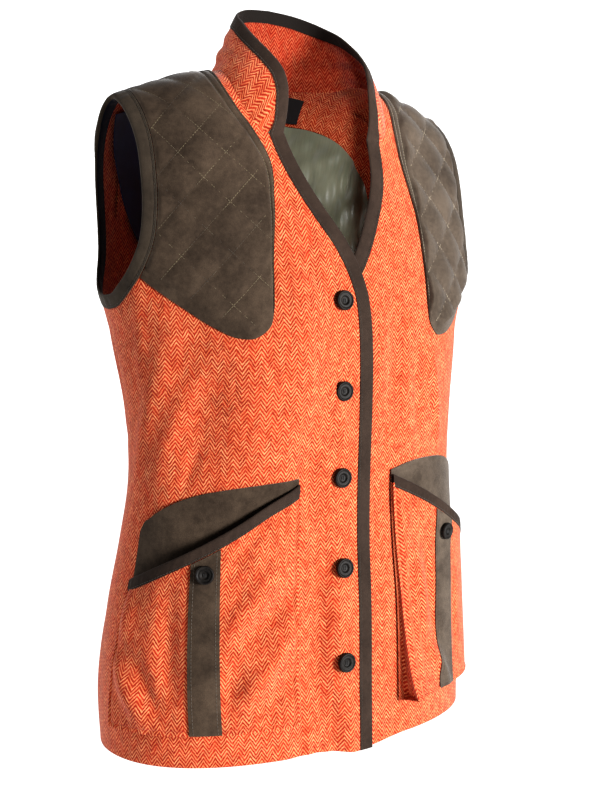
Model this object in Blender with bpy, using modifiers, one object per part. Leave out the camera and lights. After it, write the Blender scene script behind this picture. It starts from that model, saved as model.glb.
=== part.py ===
"""A fitted, sleeveless shooting gilet in tweed, standing filled out as if worn.

The front faces -Y and up is +Z. The origin is at the middle of the neck, level with the
points where the shoulder line meets the collar. Metres throughout. The wearer's right is -X.
Most pieces are laid out on one body form, by an angle round it from the front middle and by
a height, and stand off that form by a distance along its outward normal.
"""
import math

import bpy
import bmesh
import numpy as np
from mathutils import Matrix, Vector

# thicknesses
TWEED = 0.0020
SUEDE = 0.0018
BACKING = 0.0012
LINING = 0.0010
BIND_HALF = 0.0017           # half the thickness of a folded edge binding
GAP = 0.0003

# heights
ARMPIT = -0.260              # the armpit line, where the shoulders start to close in
RISE = 0.258                 # from the armpit line to the shoulder line
TOP = ARMPIT + RISE * math.pi / 2
HEM = -0.681
UNDERARM = -0.219            # lowest point of the armhole's free edge

# the front closing
BUTTON_X = -0.0117           # the line of buttons, a little to the wearer's right
BUTTON_HEIGHTS = (-0.2330, -0.3200, -0.4065, -0.4970, -0.5915)
BUTTON_RADIUS = 0.0100
POCKET_BUTTON_RADIUS = 0.0090
BUTTON_SHANK = 0.0007        # between a button and the cloth
LAP_LIFT = 0.0021            # how far each front moves off the form where the two lap
LAP_TOP = -0.10              # height where the fronts no longer lap
LAP_FADE = 0.06              # height over which they come to lap, below that
# x at which each front lies on the form again, and the distance over which it comes back to it
LAP_SIDE = {"right": (-0.095, 0.035), "left": (0.085, 0.040)}

# visible widths of the folded bindings
FRONT_BINDING = 0.0165
COLLAR_BINDING = 0.0130
ARM_BINDING = 0.0140
MOUTH_BINDING = 0.0130

# body sections: height, half width, front depth, back depth, centre y
SECTIONS = np.array((
    (-0.760, 0.2110, 0.1250, 0.1170, 0.0000),
    (-0.690, 0.2110, 0.1240, 0.1165, 0.0000),
    (-0.620, 0.2113, 0.1225, 0.1140, 0.0000),
    (-0.540, 0.2050, 0.1165, 0.1085, -0.0045),
    (-0.470, 0.1945, 0.1055, 0.0980, -0.0110),
    (-0.410, 0.1880, 0.0985, 0.0915, -0.0170),
    (-0.340, 0.1903, 0.1010, 0.0940, -0.0165),
    (-0.260, 0.2004, 0.1115, 0.1040, -0.0075),
    (-0.200, 0.2050, 0.1140, 0.1050, -0.0020),
))
SQUARENESS = 0.04            # how much fuller than an ellipse the sections are
BUST = {"swell": 0.006, "angle": 0.72, "height": -0.285, "wide": 0.34, "tall": 0.065}
FRONT_HOLLOW = 0.10          # how much flatter than an arc the front closes in to the shoulder
BACK_ROUND = 0.72            # power that rounds the back out below the shoulder line
SHOULDER_SHIFT = 0.002       # how far back the shoulder line lies
# how far up the shoulders (0 armpit line, 1 top), how much wider the sides stand there
FLARE = np.array((
    (0.00, 0.000), (0.06, 0.035), (0.13, 0.075), (0.25, 0.100),
    (0.50, 0.105), (0.75, 0.075), (1.00, 0.040), (1.20, 0.020),
))
# and how much wider again over the wearer's left front
FLARE_LEFT = np.array((
    (0.00, 0.000), (0.13, 0.040), (0.25, 0.065), (0.38, 0.085), (0.50, 0.105),
    (0.62, 0.095), (0.75, 0.045), (0.86, 0.005), (0.94, 0.000), (1.20, 0.000),
))
# distance from the middle, height of the shoulder line
RIDGE = np.array((
    (0.000, 0.0120), (0.045, 0.0100), (0.085, 0.0000), (0.120, -0.0100),
    (0.150, -0.0195), (0.185, -0.0320), (0.209, -0.0420), (0.235, -0.0550),
))

JOINT = -0.053               # where each front's free edge passes into the collar's
# free edge of the wearer's right front, which laps over: height, x
EDGE_RIGHT = np.array((
    (-0.720, 0.0235), (-0.685, 0.0235), (-0.494, 0.0240), (-0.331, 0.0258), (-0.281, 0.0250),
    (-0.251, 0.0235), (-0.223, 0.0195), (-0.196, 0.0100), (-0.177, 0.0005), (-0.143, -0.0210),
    (-0.101, -0.0395), (-0.077, -0.0465), (JOINT, -0.0505),
))
# free edge of the wearer's left front, which lies under: height, x
EDGE_LEFT = np.array((
    (-0.720, -0.0460), (-0.320, -0.0460), (-0.265, -0.0410), (-0.235, -0.0260), (-0.214, -0.0100),
    (-0.196, 0.0050), (-0.179, 0.0155), (-0.148, 0.0310), (-0.107, 0.0450), (-0.077, 0.0490),
    (JOINT, 0.0505),
))
# collar seam down each front: share of the way from the joint to the shoulder, x, height
SEAM_FRONT = np.array((
    (0.00, 0.0505, JOINT), (0.10, 0.0655, -0.0530), (0.20, 0.0755, -0.0420), (0.40, 0.0850, -0.0120),
    (0.60, 0.0905, 0.0340), (0.80, 0.0895, 0.0900), (1.00, 0.0855, TOP),
))
# collar seam across the back: share of the way from the shoulder to the middle, x, height
SEAM_BACK = np.array((
    (0.00, 0.0855, TOP), (0.15, 0.0835, 0.1220), (0.35, 0.0720, 0.0920), (0.60, 0.0480, 0.0660),
    (0.80, 0.0240, 0.0540), (1.00, 0.0000, 0.0510),
))
# free edge of the collar: share of the way from the joint to the back middle, x, y, z
COLLAR_EDGE = np.array((
    (0.00, 0.0505, -0.0750, -0.0670), (0.09, 0.0500, -0.0795, -0.0520),
    (0.18, 0.0490, -0.0810, -0.0350), (0.26, 0.0490, -0.0795, -0.0190),
    (0.34, 0.0515, -0.0740, -0.0040), (0.44, 0.0570, -0.0610, 0.0120),
    (0.53, 0.0605, -0.0460, 0.0250), (0.61, 0.0612, -0.0300, 0.0370),
    (0.70, 0.0592, -0.0120, 0.0500), (0.78, 0.0550, 0.0040, 0.0590),
    (0.86, 0.0450, 0.0190, 0.0680), (0.93, 0.0270, 0.0300, 0.0750),
    (1.00, 0.0000, 0.0345, 0.0780),
))
COLLAR_LEAN = 1.1            # power that leans the lines from edge to seam backwards at the front
COLLAR_MEET = 0.3            # share over which the edge comes down to the joint on the front
COLLAR_FULL = 0.05           # height of collar at which it bows out fully
COLLAR_SIDE = 0.74           # share of that edge that stands over the shoulder line
COLLAR_START = 0.16          # share at which the collar is tall enough to show inside its binding
COLLAR_FOOT = 0.0019         # from the collar's lower edge to its seam over the fronts
COLLAR_FOOT_BACK = 0.0012    # and at the back middle
COLLAR_ROUND = 0.0025        # how far the collar bows out between seam and edge

# free edge of the armhole over the front, from the underarm: share, degrees round, height
ARM_FRONT = np.array((
    (0.00, 90.0, UNDERARM), (0.10, 83.0, -0.2165), (0.19, 76.5, -0.2060), (0.28, 70.5, -0.1920),
    (0.37, 66.3, -0.1740), (0.45, 63.6, -0.1550), (0.55, 61.6, -0.1220), (0.66, 61.0, -0.0800),
    (0.77, 61.8, -0.0220), (0.88, 66.0, 0.0470), (0.95, 70.5, 0.1000), (1.00, 74.0, TOP),
))
# the same over the back
ARM_BACK = np.array((
    (0.00, 90.0, UNDERARM), (0.12, 97.5, -0.2165), (0.24, 106.0, -0.2050), (0.36, 112.5, -0.1800),
    (0.48, 114.0, -0.1480), (0.60, 112.5, -0.1080), (0.72, 109.0, -0.0550), (0.86, 106.0, 0.0300),
    (1.00, 106.0, TOP),
))

# shoulder patches, inner edge from the tip up to the shoulder line: share, degrees round, height
PATCH_EDGE = {
    "right": np.array((
        (0.00, 25.4, -0.2400), (0.22, 23.5, -0.1830), (0.42, 21.3, -0.1320), (0.58, 20.6, -0.0850),
        (0.68, 23.6, -0.0450), (0.78, 27.0, -0.0050), (0.88, 29.0, 0.0500), (1.00, 28.5, TOP),
    )),
    "left": np.array((
        (0.00, 30.4, -0.2350), (0.22, 30.2, -0.1870), (0.40, 29.6, -0.1360), (0.54, 28.2, -0.1050),
        (0.68, 26.8, -0.0600), (0.78, 27.4, -0.0150), (0.88, 29.0, 0.0500), (1.00, 28.5, TOP),
    )),
}
# lower edge from the tip out to the armhole: share, degrees round, height
PATCH_FOOT = {
    "right": np.array((
        (0.00, 25.4, -0.2400), (0.08, 26.8, -0.2560), (0.17, 31.0, -0.2670), (0.28, 36.0, -0.2680),
        (0.45, 43.5, -0.2590), (0.68, 54.0, -0.2400), (0.88, 63.5, -0.2210), (1.00, 68.6, -0.2105),
    )),
    "left": np.array((
        (0.00, 30.4, -0.2350), (0.08, 31.2, -0.2530), (0.17, 34.5, -0.2660), (0.28, 39.0, -0.2670),
        (0.45, 46.0, -0.2600), (0.68, 56.0, -0.2410), (0.88, 64.2, -0.2210), (1.00, 68.6, -0.2105),
    )),
}
# shares of the armhole where its binding thickens over the patch, in front and behind
PATCH_FROM, PATCH_TO, PATCH_FADE = 0.20, 0.72, 0.12
PATCH_LOW = 0.0018           # inner face of a patch, off the form
PATCH_GAP = 0.0006           # between a patch and the armhole's tape
PATCH_ARM_ROW = 4            # row of the armhole binding at which the patch meets it
PATCH_BACK_INNER = 150.0     # degrees round of its inner corner behind the shoulder
QUILT_PITCH = 0.0290         # between neighbouring lines of quilting
QUILT_RADIUS = 0.165         # turns degrees round into distance for the quilting
QUILT_PUFF = 0.0024
PATCH_BORDER = 0.0095        # flat stitched border
PATCH_BINDING = 0.0048       # outer face of the armhole binding beside a patch, off the form

# pockets: degrees round of the inner and outer edges
POCKET_SPAN = {"right": (17.9, 78.5), "left": (14.0, 67.5)}
POCKET_BOTTOM = -0.6450
POCKET_FOOT = 0.0027         # where a bag's gusset is sewn down, off the form
BAG_RIM = 0.018              # share of a bag's width that its gusset leans in by at the bottom
BAG_RIM_TOP = 0.004          # and at the mouth
BAG_SHOULDER = 0.45          # share of its width over which it comes up to its middle's depth
BAG_NECK = 0.25              # share of its height over which it opens out below the mouth
BAG_RISE = 0.0030            # how far its gusset leans in at the bottom
BACKING_LOW = 0.0018         # inner face of the suede behind a mouth, off the form
MOUTH_GAP = 0.0008           # between that tape and the bag below it
MOUTH_HALF = 0.0015          # half the thickness of the tape on a pocket's edge
# mouth: share of the way out, height, how far the bag's edge stands off the form
MOUTH = {
    "right": np.array((
        (0.00, -0.4090, 0.0062), (0.16, -0.4250, 0.0105), (0.32, -0.4440, 0.0145), (0.51, -0.4640, 0.0165),
        (0.71, -0.4822, 0.0150), (0.86, -0.4935, 0.0105), (1.00, -0.5020, 0.0062),
    )),
    "left": np.array((
        (0.00, -0.4080, 0.0062), (0.10, -0.4158, 0.0090), (0.23, -0.4267, 0.0125), (0.38, -0.4407, 0.0155),
        (0.57, -0.4587, 0.0165), (0.70, -0.4690, 0.0150), (0.85, -0.4820, 0.0105), (1.00, -0.4940, 0.0062),
    )),
}
# how far a bag's face stands off: share of the way down, at the inner edge, middle, outer edge
BAG_DEPTH = {
    "right": np.array((
        (0.0, 0.0062, 0.0160, 0.0062), (0.2, 0.0070, 0.0185, 0.0090), (0.5, 0.0100, 0.0205, 0.0145),
        (0.8, 0.0160, 0.0220, 0.0185), (1.0, 0.0190, 0.0215, 0.0195),
    )),
    "left": np.array((
        (0.0, 0.0062, 0.0160, 0.0062), (0.2, 0.0062, 0.0128, 0.0075), (0.5, 0.0082, 0.0098, 0.0085),
        (0.8, 0.0210, 0.0105, 0.0088), (1.0, 0.0310, 0.0130, 0.0090),
    )),
}
# top edge of the backing behind the mouth: share of the way out, height
BACKING_TOP = {
    "right": np.array((
        (0.00, -0.4045), (0.20, -0.4080), (0.40, -0.4125), (0.57, -0.4180), (0.75, -0.4280),
        (0.90, -0.4410), (0.97, -0.4500), (1.00, -0.4620),
    )),
    "left": np.array((
        (0.00, -0.4045), (0.16, -0.3980), (0.36, -0.3958), (0.60, -0.3990), (0.75, -0.4060),
        (0.90, -0.4200), (0.97, -0.4350), (1.00, -0.4500),
    )),
}
BACKING_BELOW = 0.022        # how far the backing runs down inside the bag
# straps down the bags: degrees round of the middle at the top and at the bottom
STRAP_LINE = {"right": (46.6, 43.8), "left": (34.8, 31.0)}
STRAP_HALF = 0.0140
STRAP_BUTTON = 0.0160        # from the strap's top to its button's middle
POCKET_RADIUS = 0.185        # turns degrees round into distance over a pocket

# lower edge of the facing inside the back neck, from the middle: degrees from the back middle, height
FACING_EDGE = np.array((
    (0.0, -0.0120), (12.0, -0.0090), (24.0, -0.0050), (33.0, -0.0180), (40.0, -0.0520),
    (44.5, -0.0860), (47.0, -0.1300),
))
# its outer edge, at matching points
FACING_OUTER = np.array((
    (0.0, 0.0480), (10.0, 0.0500), (20.0, 0.0570), (36.0, 0.0600), (49.0, 0.0050),
    (53.0, -0.0600), (54.0, -0.1300),
))
LINING_SIDE = 53.0           # degrees from the back middle to the lining's side
LINING_HEM = -0.655
LINING_RADIUS = 0.15         # turns degrees round into distance inside the back
FACING_GAP = 0.0010          # between the facing's lower edge and the lining
# inner layer at the back of each armhole: height, its edge and its far side, degrees from the back middle
ARM_LINING = {
    "right": np.array((
        (-0.151, 38.9, 37.0), (-0.129, 42.8, 37.5), (-0.102, 46.7, 38.5), (-0.064, 51.8, 41.0),
        (-0.030, 56.6, 44.0), (0.010, 60.0, 48.0), (0.060, 63.0, 52.0),
    )),
    "left": np.array((
        (-0.151, 48.5, 46.5), (-0.129, 49.5, 46.5), (-0.102, 51.5, 47.0), (-0.064, 54.0, 47.5),
        (-0.030, 57.0, 49.0), (0.010, 60.0, 51.0), (0.060, 63.0, 54.0),
    )),
}
LINING_GAP = 0.0020          # between the back and what lines it
ARM_LINING_GAP = 0.0011      # between the lining and the dark layer at an armhole
LABEL_GAP = 0.0007           # between the facing and the label
LABEL_HALF = 0.050
LABEL_HEIGHTS = (-0.0030, -0.0330)

COLOURS = {
    "tweed": ((0.80, 0.115, 0.035), 0.95),
    "suede": ((0.080, 0.058, 0.044), 0.90),
    "binding": ((0.070, 0.052, 0.040), 0.85),
    "olive": ((0.17, 0.18, 0.12), 0.45),
    "navy": ((0.012, 0.017, 0.045), 0.55),
    "label": ((0.010, 0.010, 0.011), 0.60),
    "horn": ((0.022, 0.018, 0.016), 0.35),
}


def curve(table, at):
    """Smooth curve through a table's rows, read by its first column."""
    table = np.asarray(table, float)
    keys = table[:, 0]
    at = np.clip(np.asarray(at, float), keys[0], keys[-1])
    row = np.clip(np.searchsorted(keys, at, side="right") - 1, 0, len(keys) - 2)
    slope = np.gradient(table[:, 1:], keys, axis=0)
    span = (keys[row + 1] - keys[row])[..., None]
    t = (at - keys[row])[..., None] / span
    start, end = table[row, 1:], table[row + 1, 1:]
    return ((2 * t**3 - 3 * t**2 + 1) * start + (t**3 - 2 * t**2 + t) * slope[row] * span
            + (3 * t**2 - 2 * t**3) * end + (t**3 - t**2) * slope[row + 1] * span)


def ease(t):
    """0 to 1 with a soft start and end."""
    t = np.clip(t, 0.0, 1.0)
    return t * t * (3 - 2 * t)


def unit(v):
    return v / np.linalg.norm(v, axis=-1, keepdims=True)


def form(angle, height):
    """Point of the body form. Above the armpit line the height is an arc over the shoulder."""
    angle, height = np.broadcast_arrays(np.asarray(angle, float), np.asarray(height, float))
    low = np.minimum(height, ARMPIT)
    climb = np.clip((height - ARMPIT) / RISE, 0.0, math.pi / 2)
    half, front, back, middle = np.moveaxis(curve(SECTIONS, low), -1, 0)
    middle = middle + SHOULDER_SHIFT * np.sin(climb)
    up = climb / (math.pi / 2)
    left_front = np.where(np.sin(angle) > 0, np.clip(1 + 2.5 * np.minimum(np.cos(angle), 0), 0, 1), 0.0)
    wider = curve(FLARE, up)[..., 0] + left_front * curve(FLARE_LEFT, up)[..., 0]
    half = half * (1 + wider * np.sin(angle) ** 4)
    full = 1 + SQUARENESS * np.sin(2 * angle) ** 2
    x = half * np.sin(angle) * full
    in_front = np.cos(angle) > 0
    close = np.clip(np.cos(climb), 0.0, 1.0)
    close = np.where(in_front, close * (1 - FRONT_HOLLOW * np.sin(2 * climb) ** 2), close ** BACK_ROUND)
    round_it = (np.abs(angle) - BUST["angle"]) / BUST["wide"]
    along_it = (height - BUST["height"]) / BUST["tall"]
    bust = BUST["swell"] * np.exp(-round_it ** 2 - along_it ** 2)
    y = middle - (np.where(in_front, front, back) + bust) * np.cos(angle) * full * close
    z = low + (curve(RIDGE, np.abs(x))[..., 0] - ARMPIT) * np.sin(climb)
    return np.stack([x, y, z], -1)


def slopes(angle, height):
    """How the form's point moves with the angle and with the height."""
    step = 1e-4
    height = np.minimum(height, TOP - step)
    round_ = (form(angle + step, height) - form(angle - step, height)) / (2 * step)
    up = (form(angle, height + step) - form(angle, height - step)) / (2 * step)
    return round_, up


def outward(angle, height):
    round_, up = slopes(angle, height)
    return unit(np.cross(round_, up))


def angle_at(x, height, back=False):
    """Angle round the form at which its point stands at x."""
    x, height = np.broadcast_arrays(np.asarray(x, float), np.asarray(height, float))
    low = np.full(x.shape, -math.pi / 2)
    high = np.full(x.shape, math.pi / 2)
    for _ in range(40):
        middle = (low + high) / 2
        beyond = form(math.pi - middle if back else middle, height)[..., 0] < x
        low = np.where(beyond, middle, low)
        high = np.where(beyond, high, middle)
    middle = (low + high) / 2
    return math.pi - middle if back else middle


def sign(side):
    return -1.0 if side == "right" else 1.0


def lap(side, x, height):
    """How far a front stands off the form where the two fronts lap."""
    tall = ease((LAP_TOP - height) / LAP_FADE)
    side_x, fade = LAP_SIDE[side]
    return -sign(side) * LAP_LIFT * tall * ease(-sign(side) * (x - side_x) / fade)


def place(angle, height, off, side=None):
    """Points standing off the form, with the lap of that side's front where a side is given."""
    points = form(angle, height)
    off = np.asarray(off, float)
    if side is not None:
        off = off + lap(side, points[..., 0], height)
    return points + off[..., None] * outward(angle, height)


def inward(angle, height, turn, width, ring=False):
    """A curve on the form moved sideways by a width; turn +1 is to the left of its run, seen from outside."""
    for _ in range(2):
        points = form(angle, height)
        if ring:
            along = unit(np.roll(points, -1, 0) - np.roll(points, 1, 0))
        else:
            along = unit(np.gradient(points, axis=0))
        aside = turn * unit(np.cross(outward(angle, height), along)) * (width / 2)
        round_, up = slopes(angle, height)
        rr, ru, uu = (round_**2).sum(-1), (round_ * up).sum(-1), (up**2).sum(-1)
        ar, au = (aside * round_).sum(-1), (aside * up).sum(-1)
        fall = rr * uu - ru**2
        angle = angle + (ar * uu - au * ru) / fall
        height = np.minimum(height + (au * rr - ar * ru) / fall, TOP)
    return angle, height


# building meshes

gilet = bpy.data.collections.new("gilet")
materials = {}


def material(name):
    if name not in materials:
        colour, rough = COLOURS[name]
        made = bpy.data.materials.new(name)
        made.use_nodes = True
        shader = made.node_tree.nodes["Principled BSDF"]
        shader.inputs["Base Color"].default_value = (*colour, 1.0)
        shader.inputs["Roughness"].default_value = rough
        shader.inputs["Metallic"].default_value = 0.0
        materials[name] = made
    return materials[name]


def add(name, mesh, look):
    obj = bpy.data.objects.new(name, mesh)
    mesh.materials.clear()
    mesh.materials.append(material(look))
    gilet.objects.link(obj)
    obj.parent = stand
    return obj


def grid_faces(rows, columns, closed=False):
    """Corner numbers of a grid's faces; a closed grid joins its last column to its first."""
    faces = []
    for row in range(rows - 1):
        for column in range(columns if closed else columns - 1):
            right = (column + 1) % columns
            faces.append((row * columns + column, row * columns + right,
                          (row + 1) * columns + right, (row + 1) * columns + column))
    return faces


def make_mesh(name, points, faces):
    mesh = bpy.data.meshes.new(name)
    mesh.from_pydata([tuple(p) for p in points], [], faces)
    bm = bmesh.new()
    bm.from_mesh(mesh)
    bmesh.ops.recalc_face_normals(bm, faces=bm.faces)
    bm.to_mesh(mesh)
    bm.free()
    mesh.shade_smooth()
    return mesh


def cloth(name, points, thickness, look, bias=0.0):
    """A sheet through a grid of points, given its thickness with Solidify."""
    rows, columns = points.shape[:2]
    mesh = bpy.data.meshes.new(name)
    mesh.from_pydata([tuple(p) for p in points.reshape(-1, 3)], [], grid_faces(rows, columns))
    mesh.shade_smooth()
    obj = add(name, mesh, look)
    solid = obj.modifiers.new("thickness", "SOLIDIFY")
    solid.thickness = thickness
    solid.offset = bias
    solid.use_even_offset = True
    return obj


def double(name, outer, inner, look):
    """A solid between an outer and an inner grid of points, whose edges are joined."""
    rows, columns = outer.shape[:2]
    count = rows * columns
    faces = grid_faces(rows, columns)
    faces += [tuple(count + i for i in reversed(face)) for face in grid_faces(rows, columns)]
    rim = [column for column in range(columns)]
    rim += [row * columns + columns - 1 for row in range(1, rows)]
    rim += [(rows - 1) * columns + column for column in range(columns - 2, -1, -1)]
    rim += [row * columns for row in range(rows - 2, 0, -1)]
    for here, after in zip(rim, rim[1:] + rim[:1]):
        faces.append((after, here, count + here, count + after))
    points = np.concatenate([outer.reshape(-1, 3), inner.reshape(-1, 3)])
    return add(name, make_mesh(name, points, faces), look)


# section of a folded binding: share of its width from the free edge, share of its half thickness
FOLD = ((1.0, 1.0), (0.22, 1.0), (0.05, 0.62), (0.0, 0.0), (0.05, -0.62), (0.22, -1.0), (1.0, -1.0))


def binding(name, edge, far, edge_normal, far_normal, high, low, look, ring=False):
    """A folded tape from a free edge to a line over the cloth; high and low are its two faces."""
    count = len(edge)
    high = np.broadcast_to(high, (count,))
    low = np.broadcast_to(low, (count,))
    middle = (high + low) / 2
    half = (high - low) / 2
    sections = []
    for share, side in FOLD:
        normal = unit(edge_normal * (1 - share) + far_normal * share)
        sections.append(edge * (1 - share) + far * share + (middle + side * half)[:, None] * normal)
    points = np.stack(sections, 1)
    columns = len(FOLD)
    faces = grid_faces(count, columns, closed=True)
    if ring:
        last = (count - 1) * columns
        for column in range(columns):
            right = (column + 1) % columns
            faces.append((last + column, last + right, right, column))
    else:
        faces.append(tuple(reversed(range(columns))))
        faces.append(tuple((count - 1) * columns + column for column in range(columns)))
    return add(name, make_mesh(name, points.reshape(-1, 3), faces), look)


# the fronts and the back

LOW_ROWS = 15                # from the hem to the armpit line
EDGE_ROWS = 10               # from there to the joint with the collar
SEAM_ROWS = 8                # from there up the collar seam to the shoulder line
ARM_ROWS = EDGE_ROWS + SEAM_ROWS
JOINT_CLEAR = 0.0205         # from the joint to where a front's cloth shows beside the tape
SHOULDER_SEAM = TOP - GAP
SIDE_SEAM = 0.0020           # each panel stops this angle short of the side seam


def front_edge(side, height):
    x = curve(EDGE_RIGHT if side == "right" else EDGE_LEFT, height)[..., 0]
    return angle_at(x, height)


def edge_heights():
    low = np.linspace(HEM, ARMPIT, LOW_ROWS)
    high = np.linspace(ARMPIT, JOINT, EDGE_ROWS + 1)[1:]
    return np.concatenate([low, high])


def seam_front(side, share):
    x, height = np.moveaxis(curve(SEAM_FRONT, share), -1, 0)
    return angle_at(sign(side) * x, height), height


def closer(count):
    """Shares from 0 to 1 that come closer together towards 1."""
    share = np.linspace(0, 1, count)
    return share + 0.10 * np.sin(math.pi * share)


def armhole(side, width):
    """An armhole's loop, a width in from its free edge: up the front, then down the back."""
    s = sign(side)
    share = closer(ARM_ROWS + 1)
    front_degrees, front_height = np.moveaxis(curve(ARM_FRONT, share), -1, 0)
    back_degrees, back_height = np.moveaxis(curve(ARM_BACK, share), -1, 0)
    angle = s * np.radians(np.concatenate([front_degrees, back_degrees[-2:0:-1]]))
    height = np.concatenate([front_height, back_height[-2:0:-1]])
    if width:
        angle, height = inward(angle, height, s, width, ring=True)
        angle[0] = s * math.pi / 2
        height[ARM_ROWS] = TOP
    return angle, height


def arm_back(side, width):
    """The back's half of an armhole's loop, from the underarm up to the shoulder, as if on the left."""
    angle, height = armhole(side, width)
    angle = sign(side) * angle
    angle = np.concatenate([angle[:1], angle[:ARM_ROWS:-1], math.pi - angle[ARM_ROWS:ARM_ROWS + 1]])
    height = np.concatenate([height[:1], height[:ARM_ROWS:-1], height[ARM_ROWS:ARM_ROWS + 1]])
    return angle, height


def pair(angle, height):
    return np.stack(np.broadcast_arrays(np.asarray(angle, float), np.asarray(height, float)), -1)


def between(start, end, share):
    """Grid of rows that run straight from one boundary to the other."""
    share = share[None, :, None]
    return start[:, None, :] * (1 - share) + end[:, None, :] * share


def coons(bottom, top, left, right, across, up):
    """Grid of angles and heights filled in between four boundary rows of them."""
    u = across[None, :, None]
    v = up[:, None, None]
    sides = (1 - u) * left[:, None, :] + u * right[:, None, :]
    ends = (1 - v) * bottom[None, :, :] + v * top[None, :, :]
    corners = ((1 - u) * (1 - v) * bottom[0] + u * (1 - v) * bottom[-1]
               + (1 - u) * v * top[0] + u * v * top[-1])
    return sides + ends - corners


def share_at(points, distance):
    """Share of a run of points, evenly numbered, at which a distance along it is reached."""
    steps = np.linalg.norm(np.diff(points, axis=0), axis=1)
    gone = np.concatenate([[0.0], np.cumsum(steps)])
    return float(np.interp(distance, gone, np.linspace(0, 1, len(points))))


def front(side):
    """One front: hem to shoulder line, from inside its edge binding to the side seam and armhole."""
    columns = 14
    s = sign(side)
    # inner boundary: the free edge up to the collar joint, then the collar seam
    run = edge_heights()
    angle, height = inward(front_edge(side, run), run, -s, FRONT_BINDING + GAP)
    height[0] = HEM
    first = share_at(form(*seam_front(side, np.linspace(0, 1, 60))), JOINT_CLEAR)
    seam_angle, seam_height = seam_front(side, first + (1 - first) * closer(SEAM_ROWS))
    inner = np.concatenate([pair(angle, height), pair(seam_angle, np.minimum(seam_height, SHOULDER_SEAM))])
    # outer boundary: the side seam, then the armhole
    arm_angle, arm_height = armhole(side, ARM_BINDING + GAP)
    arm_angle, arm_height = arm_angle[:ARM_ROWS + 1], arm_height[:ARM_ROWS + 1]
    arm_angle[0] = s * (math.pi / 2 - SIDE_SEAM)
    arm_height[-1] = SHOULDER_SEAM
    seam = np.linspace(HEM, arm_height[0], LOW_ROWS)[:-1]
    outer = np.concatenate([pair(arm_angle[0], seam), pair(arm_angle, arm_height)])
    grid = between(inner, outer, np.linspace(0, 1, columns))
    return cloth("front_" + side, place(grid[..., 0], grid[..., 1], 0.0, side), TWEED, "tweed")


def back_half(side, up=None):
    """Angles and heights over one half of the back, as if on the left, from the side to the middle."""
    half, on_shoulder = 11, 6
    arm_angle, arm_height = arm_back(side, ARM_BINDING + GAP)
    arm_angle[0] = math.pi / 2 + SIDE_SEAM
    arm_height[-1] = SHOULDER_SEAM
    seam = np.linspace(HEM, arm_height[0], LOW_ROWS)[:-1]
    outer = np.concatenate([pair(arm_angle[0], seam), pair(arm_angle, arm_height)])
    # top boundary: along the shoulder line to the neck, then down the collar seam to the middle
    x, neck_height = np.moveaxis(curve(SEAM_BACK, np.linspace(0, 1, half + 1 - on_shoulder)), -1, 0)
    neck_height = np.minimum(neck_height, SHOULDER_SEAM)
    neck = pair(angle_at(x, neck_height, back=True), neck_height)
    step = np.linspace(0, 1, on_shoulder + 1)[:-1, None]
    top = np.concatenate([outer[-1] * (1 - step) + neck[0] * step, neck])
    if up is None:
        up = (outer[:, 1] - HEM) / (outer[-1, 1] - HEM)
    across = (top[:, 0] - top[0, 0]) / (top[-1, 0] - top[0, 0])
    middle = pair(math.pi, HEM + (neck[-1, 1] - HEM) * up)
    bottom = pair(np.linspace(outer[0, 0], math.pi, half + 1), HEM)
    return coons(bottom, top, outer, middle, across, up), up


def back():
    """The back, hem to shoulder lines, in one piece."""
    left, up = back_half("left")
    right, _ = back_half("right", up)
    angle = np.concatenate([left[..., 0], 2 * math.pi - right[:, -2::-1, 0]], 1)
    height = np.concatenate([left[..., 1], right[:, -2::-1, 1]], 1)
    return cloth("back", place(angle, height, 0.0), TWEED, "tweed")


# the collar and the bindings

def collar_lines(share, side):
    """The collar's free edge and its seam, from the joint to the back middle."""
    s = sign(side)
    over_front = share <= COLLAR_SIDE
    front_angle, front_height = seam_front(side, np.clip(share / COLLAR_SIDE, 0, 1) ** COLLAR_LEAN)
    x, back_height = np.moveaxis(curve(SEAM_BACK, (share - COLLAR_SIDE) / (1 - COLLAR_SIDE)), -1, 0)
    angle = np.where(over_front, front_angle, s * angle_at(x, back_height, back=True))
    height = np.where(over_front, front_height, back_height)
    table = COLLAR_EDGE * (1, s, 1, 1)
    joint = form(*seam_front(side, 0.0))
    meet = np.clip(1 - share / COLLAR_MEET, 0, 1)[:, None]
    edge = curve(table, share) + (joint - table[0, 1:]) * meet
    return edge, form(angle, height)


class CollarHalf:
    """One half of the collar, as lines from its free edge down to its seam."""

    def __init__(self, side, share):
        s = sign(side)
        self.edge, self.seam = collar_lines(share, side)
        along = unit(np.gradient(self.edge, axis=0))
        along[-1] = (-s, 0, 0)
        down = self.seam - self.edge
        self.length = np.linalg.norm(down, axis=1)
        self.down = down / self.length[:, None]
        square = np.cross(along, self.down)
        self.lean = np.linalg.norm(square, axis=1)
        self.normal = -s * square / self.lean[:, None]

    def point(self, down):
        """Points a share of the way down; the collar bows out in between."""
        bow = COLLAR_ROUND * np.sin(math.pi * down) * np.clip(self.length / COLLAR_FULL, 0, 1)
        return (self.edge * (1 - down[..., None]) + self.seam * down[..., None]
                + bow[..., None] * self.normal)

    def below(self, width):
        """Share of the way down at a width from the free edge."""
        return width / self.lean / self.length


COLLAR_SHARES = np.linspace(COLLAR_START, 1, 17)


def collar():
    """The stand collar's cloth, inside its edge binding."""
    rows = np.linspace(0, 1, 4)[:, None]
    halves = []
    for side in ("right", "left"):
        half = CollarHalf(side, COLLAR_SHARES)
        upper = half.below(COLLAR_BINDING + GAP)
        # closer to its seam from behind the shoulder on
        foot = COLLAR_FOOT + (COLLAR_FOOT_BACK - COLLAR_FOOT) * ease((COLLAR_SHARES - 0.80) / 0.15)
        lower = 1 - foot / half.length
        halves.append(half.point(upper + (lower - upper) * rows))
    points = np.concatenate([halves[0], halves[1][:, -2::-1]], 1)
    return cloth("collar", points, TWEED, "tweed")


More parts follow.
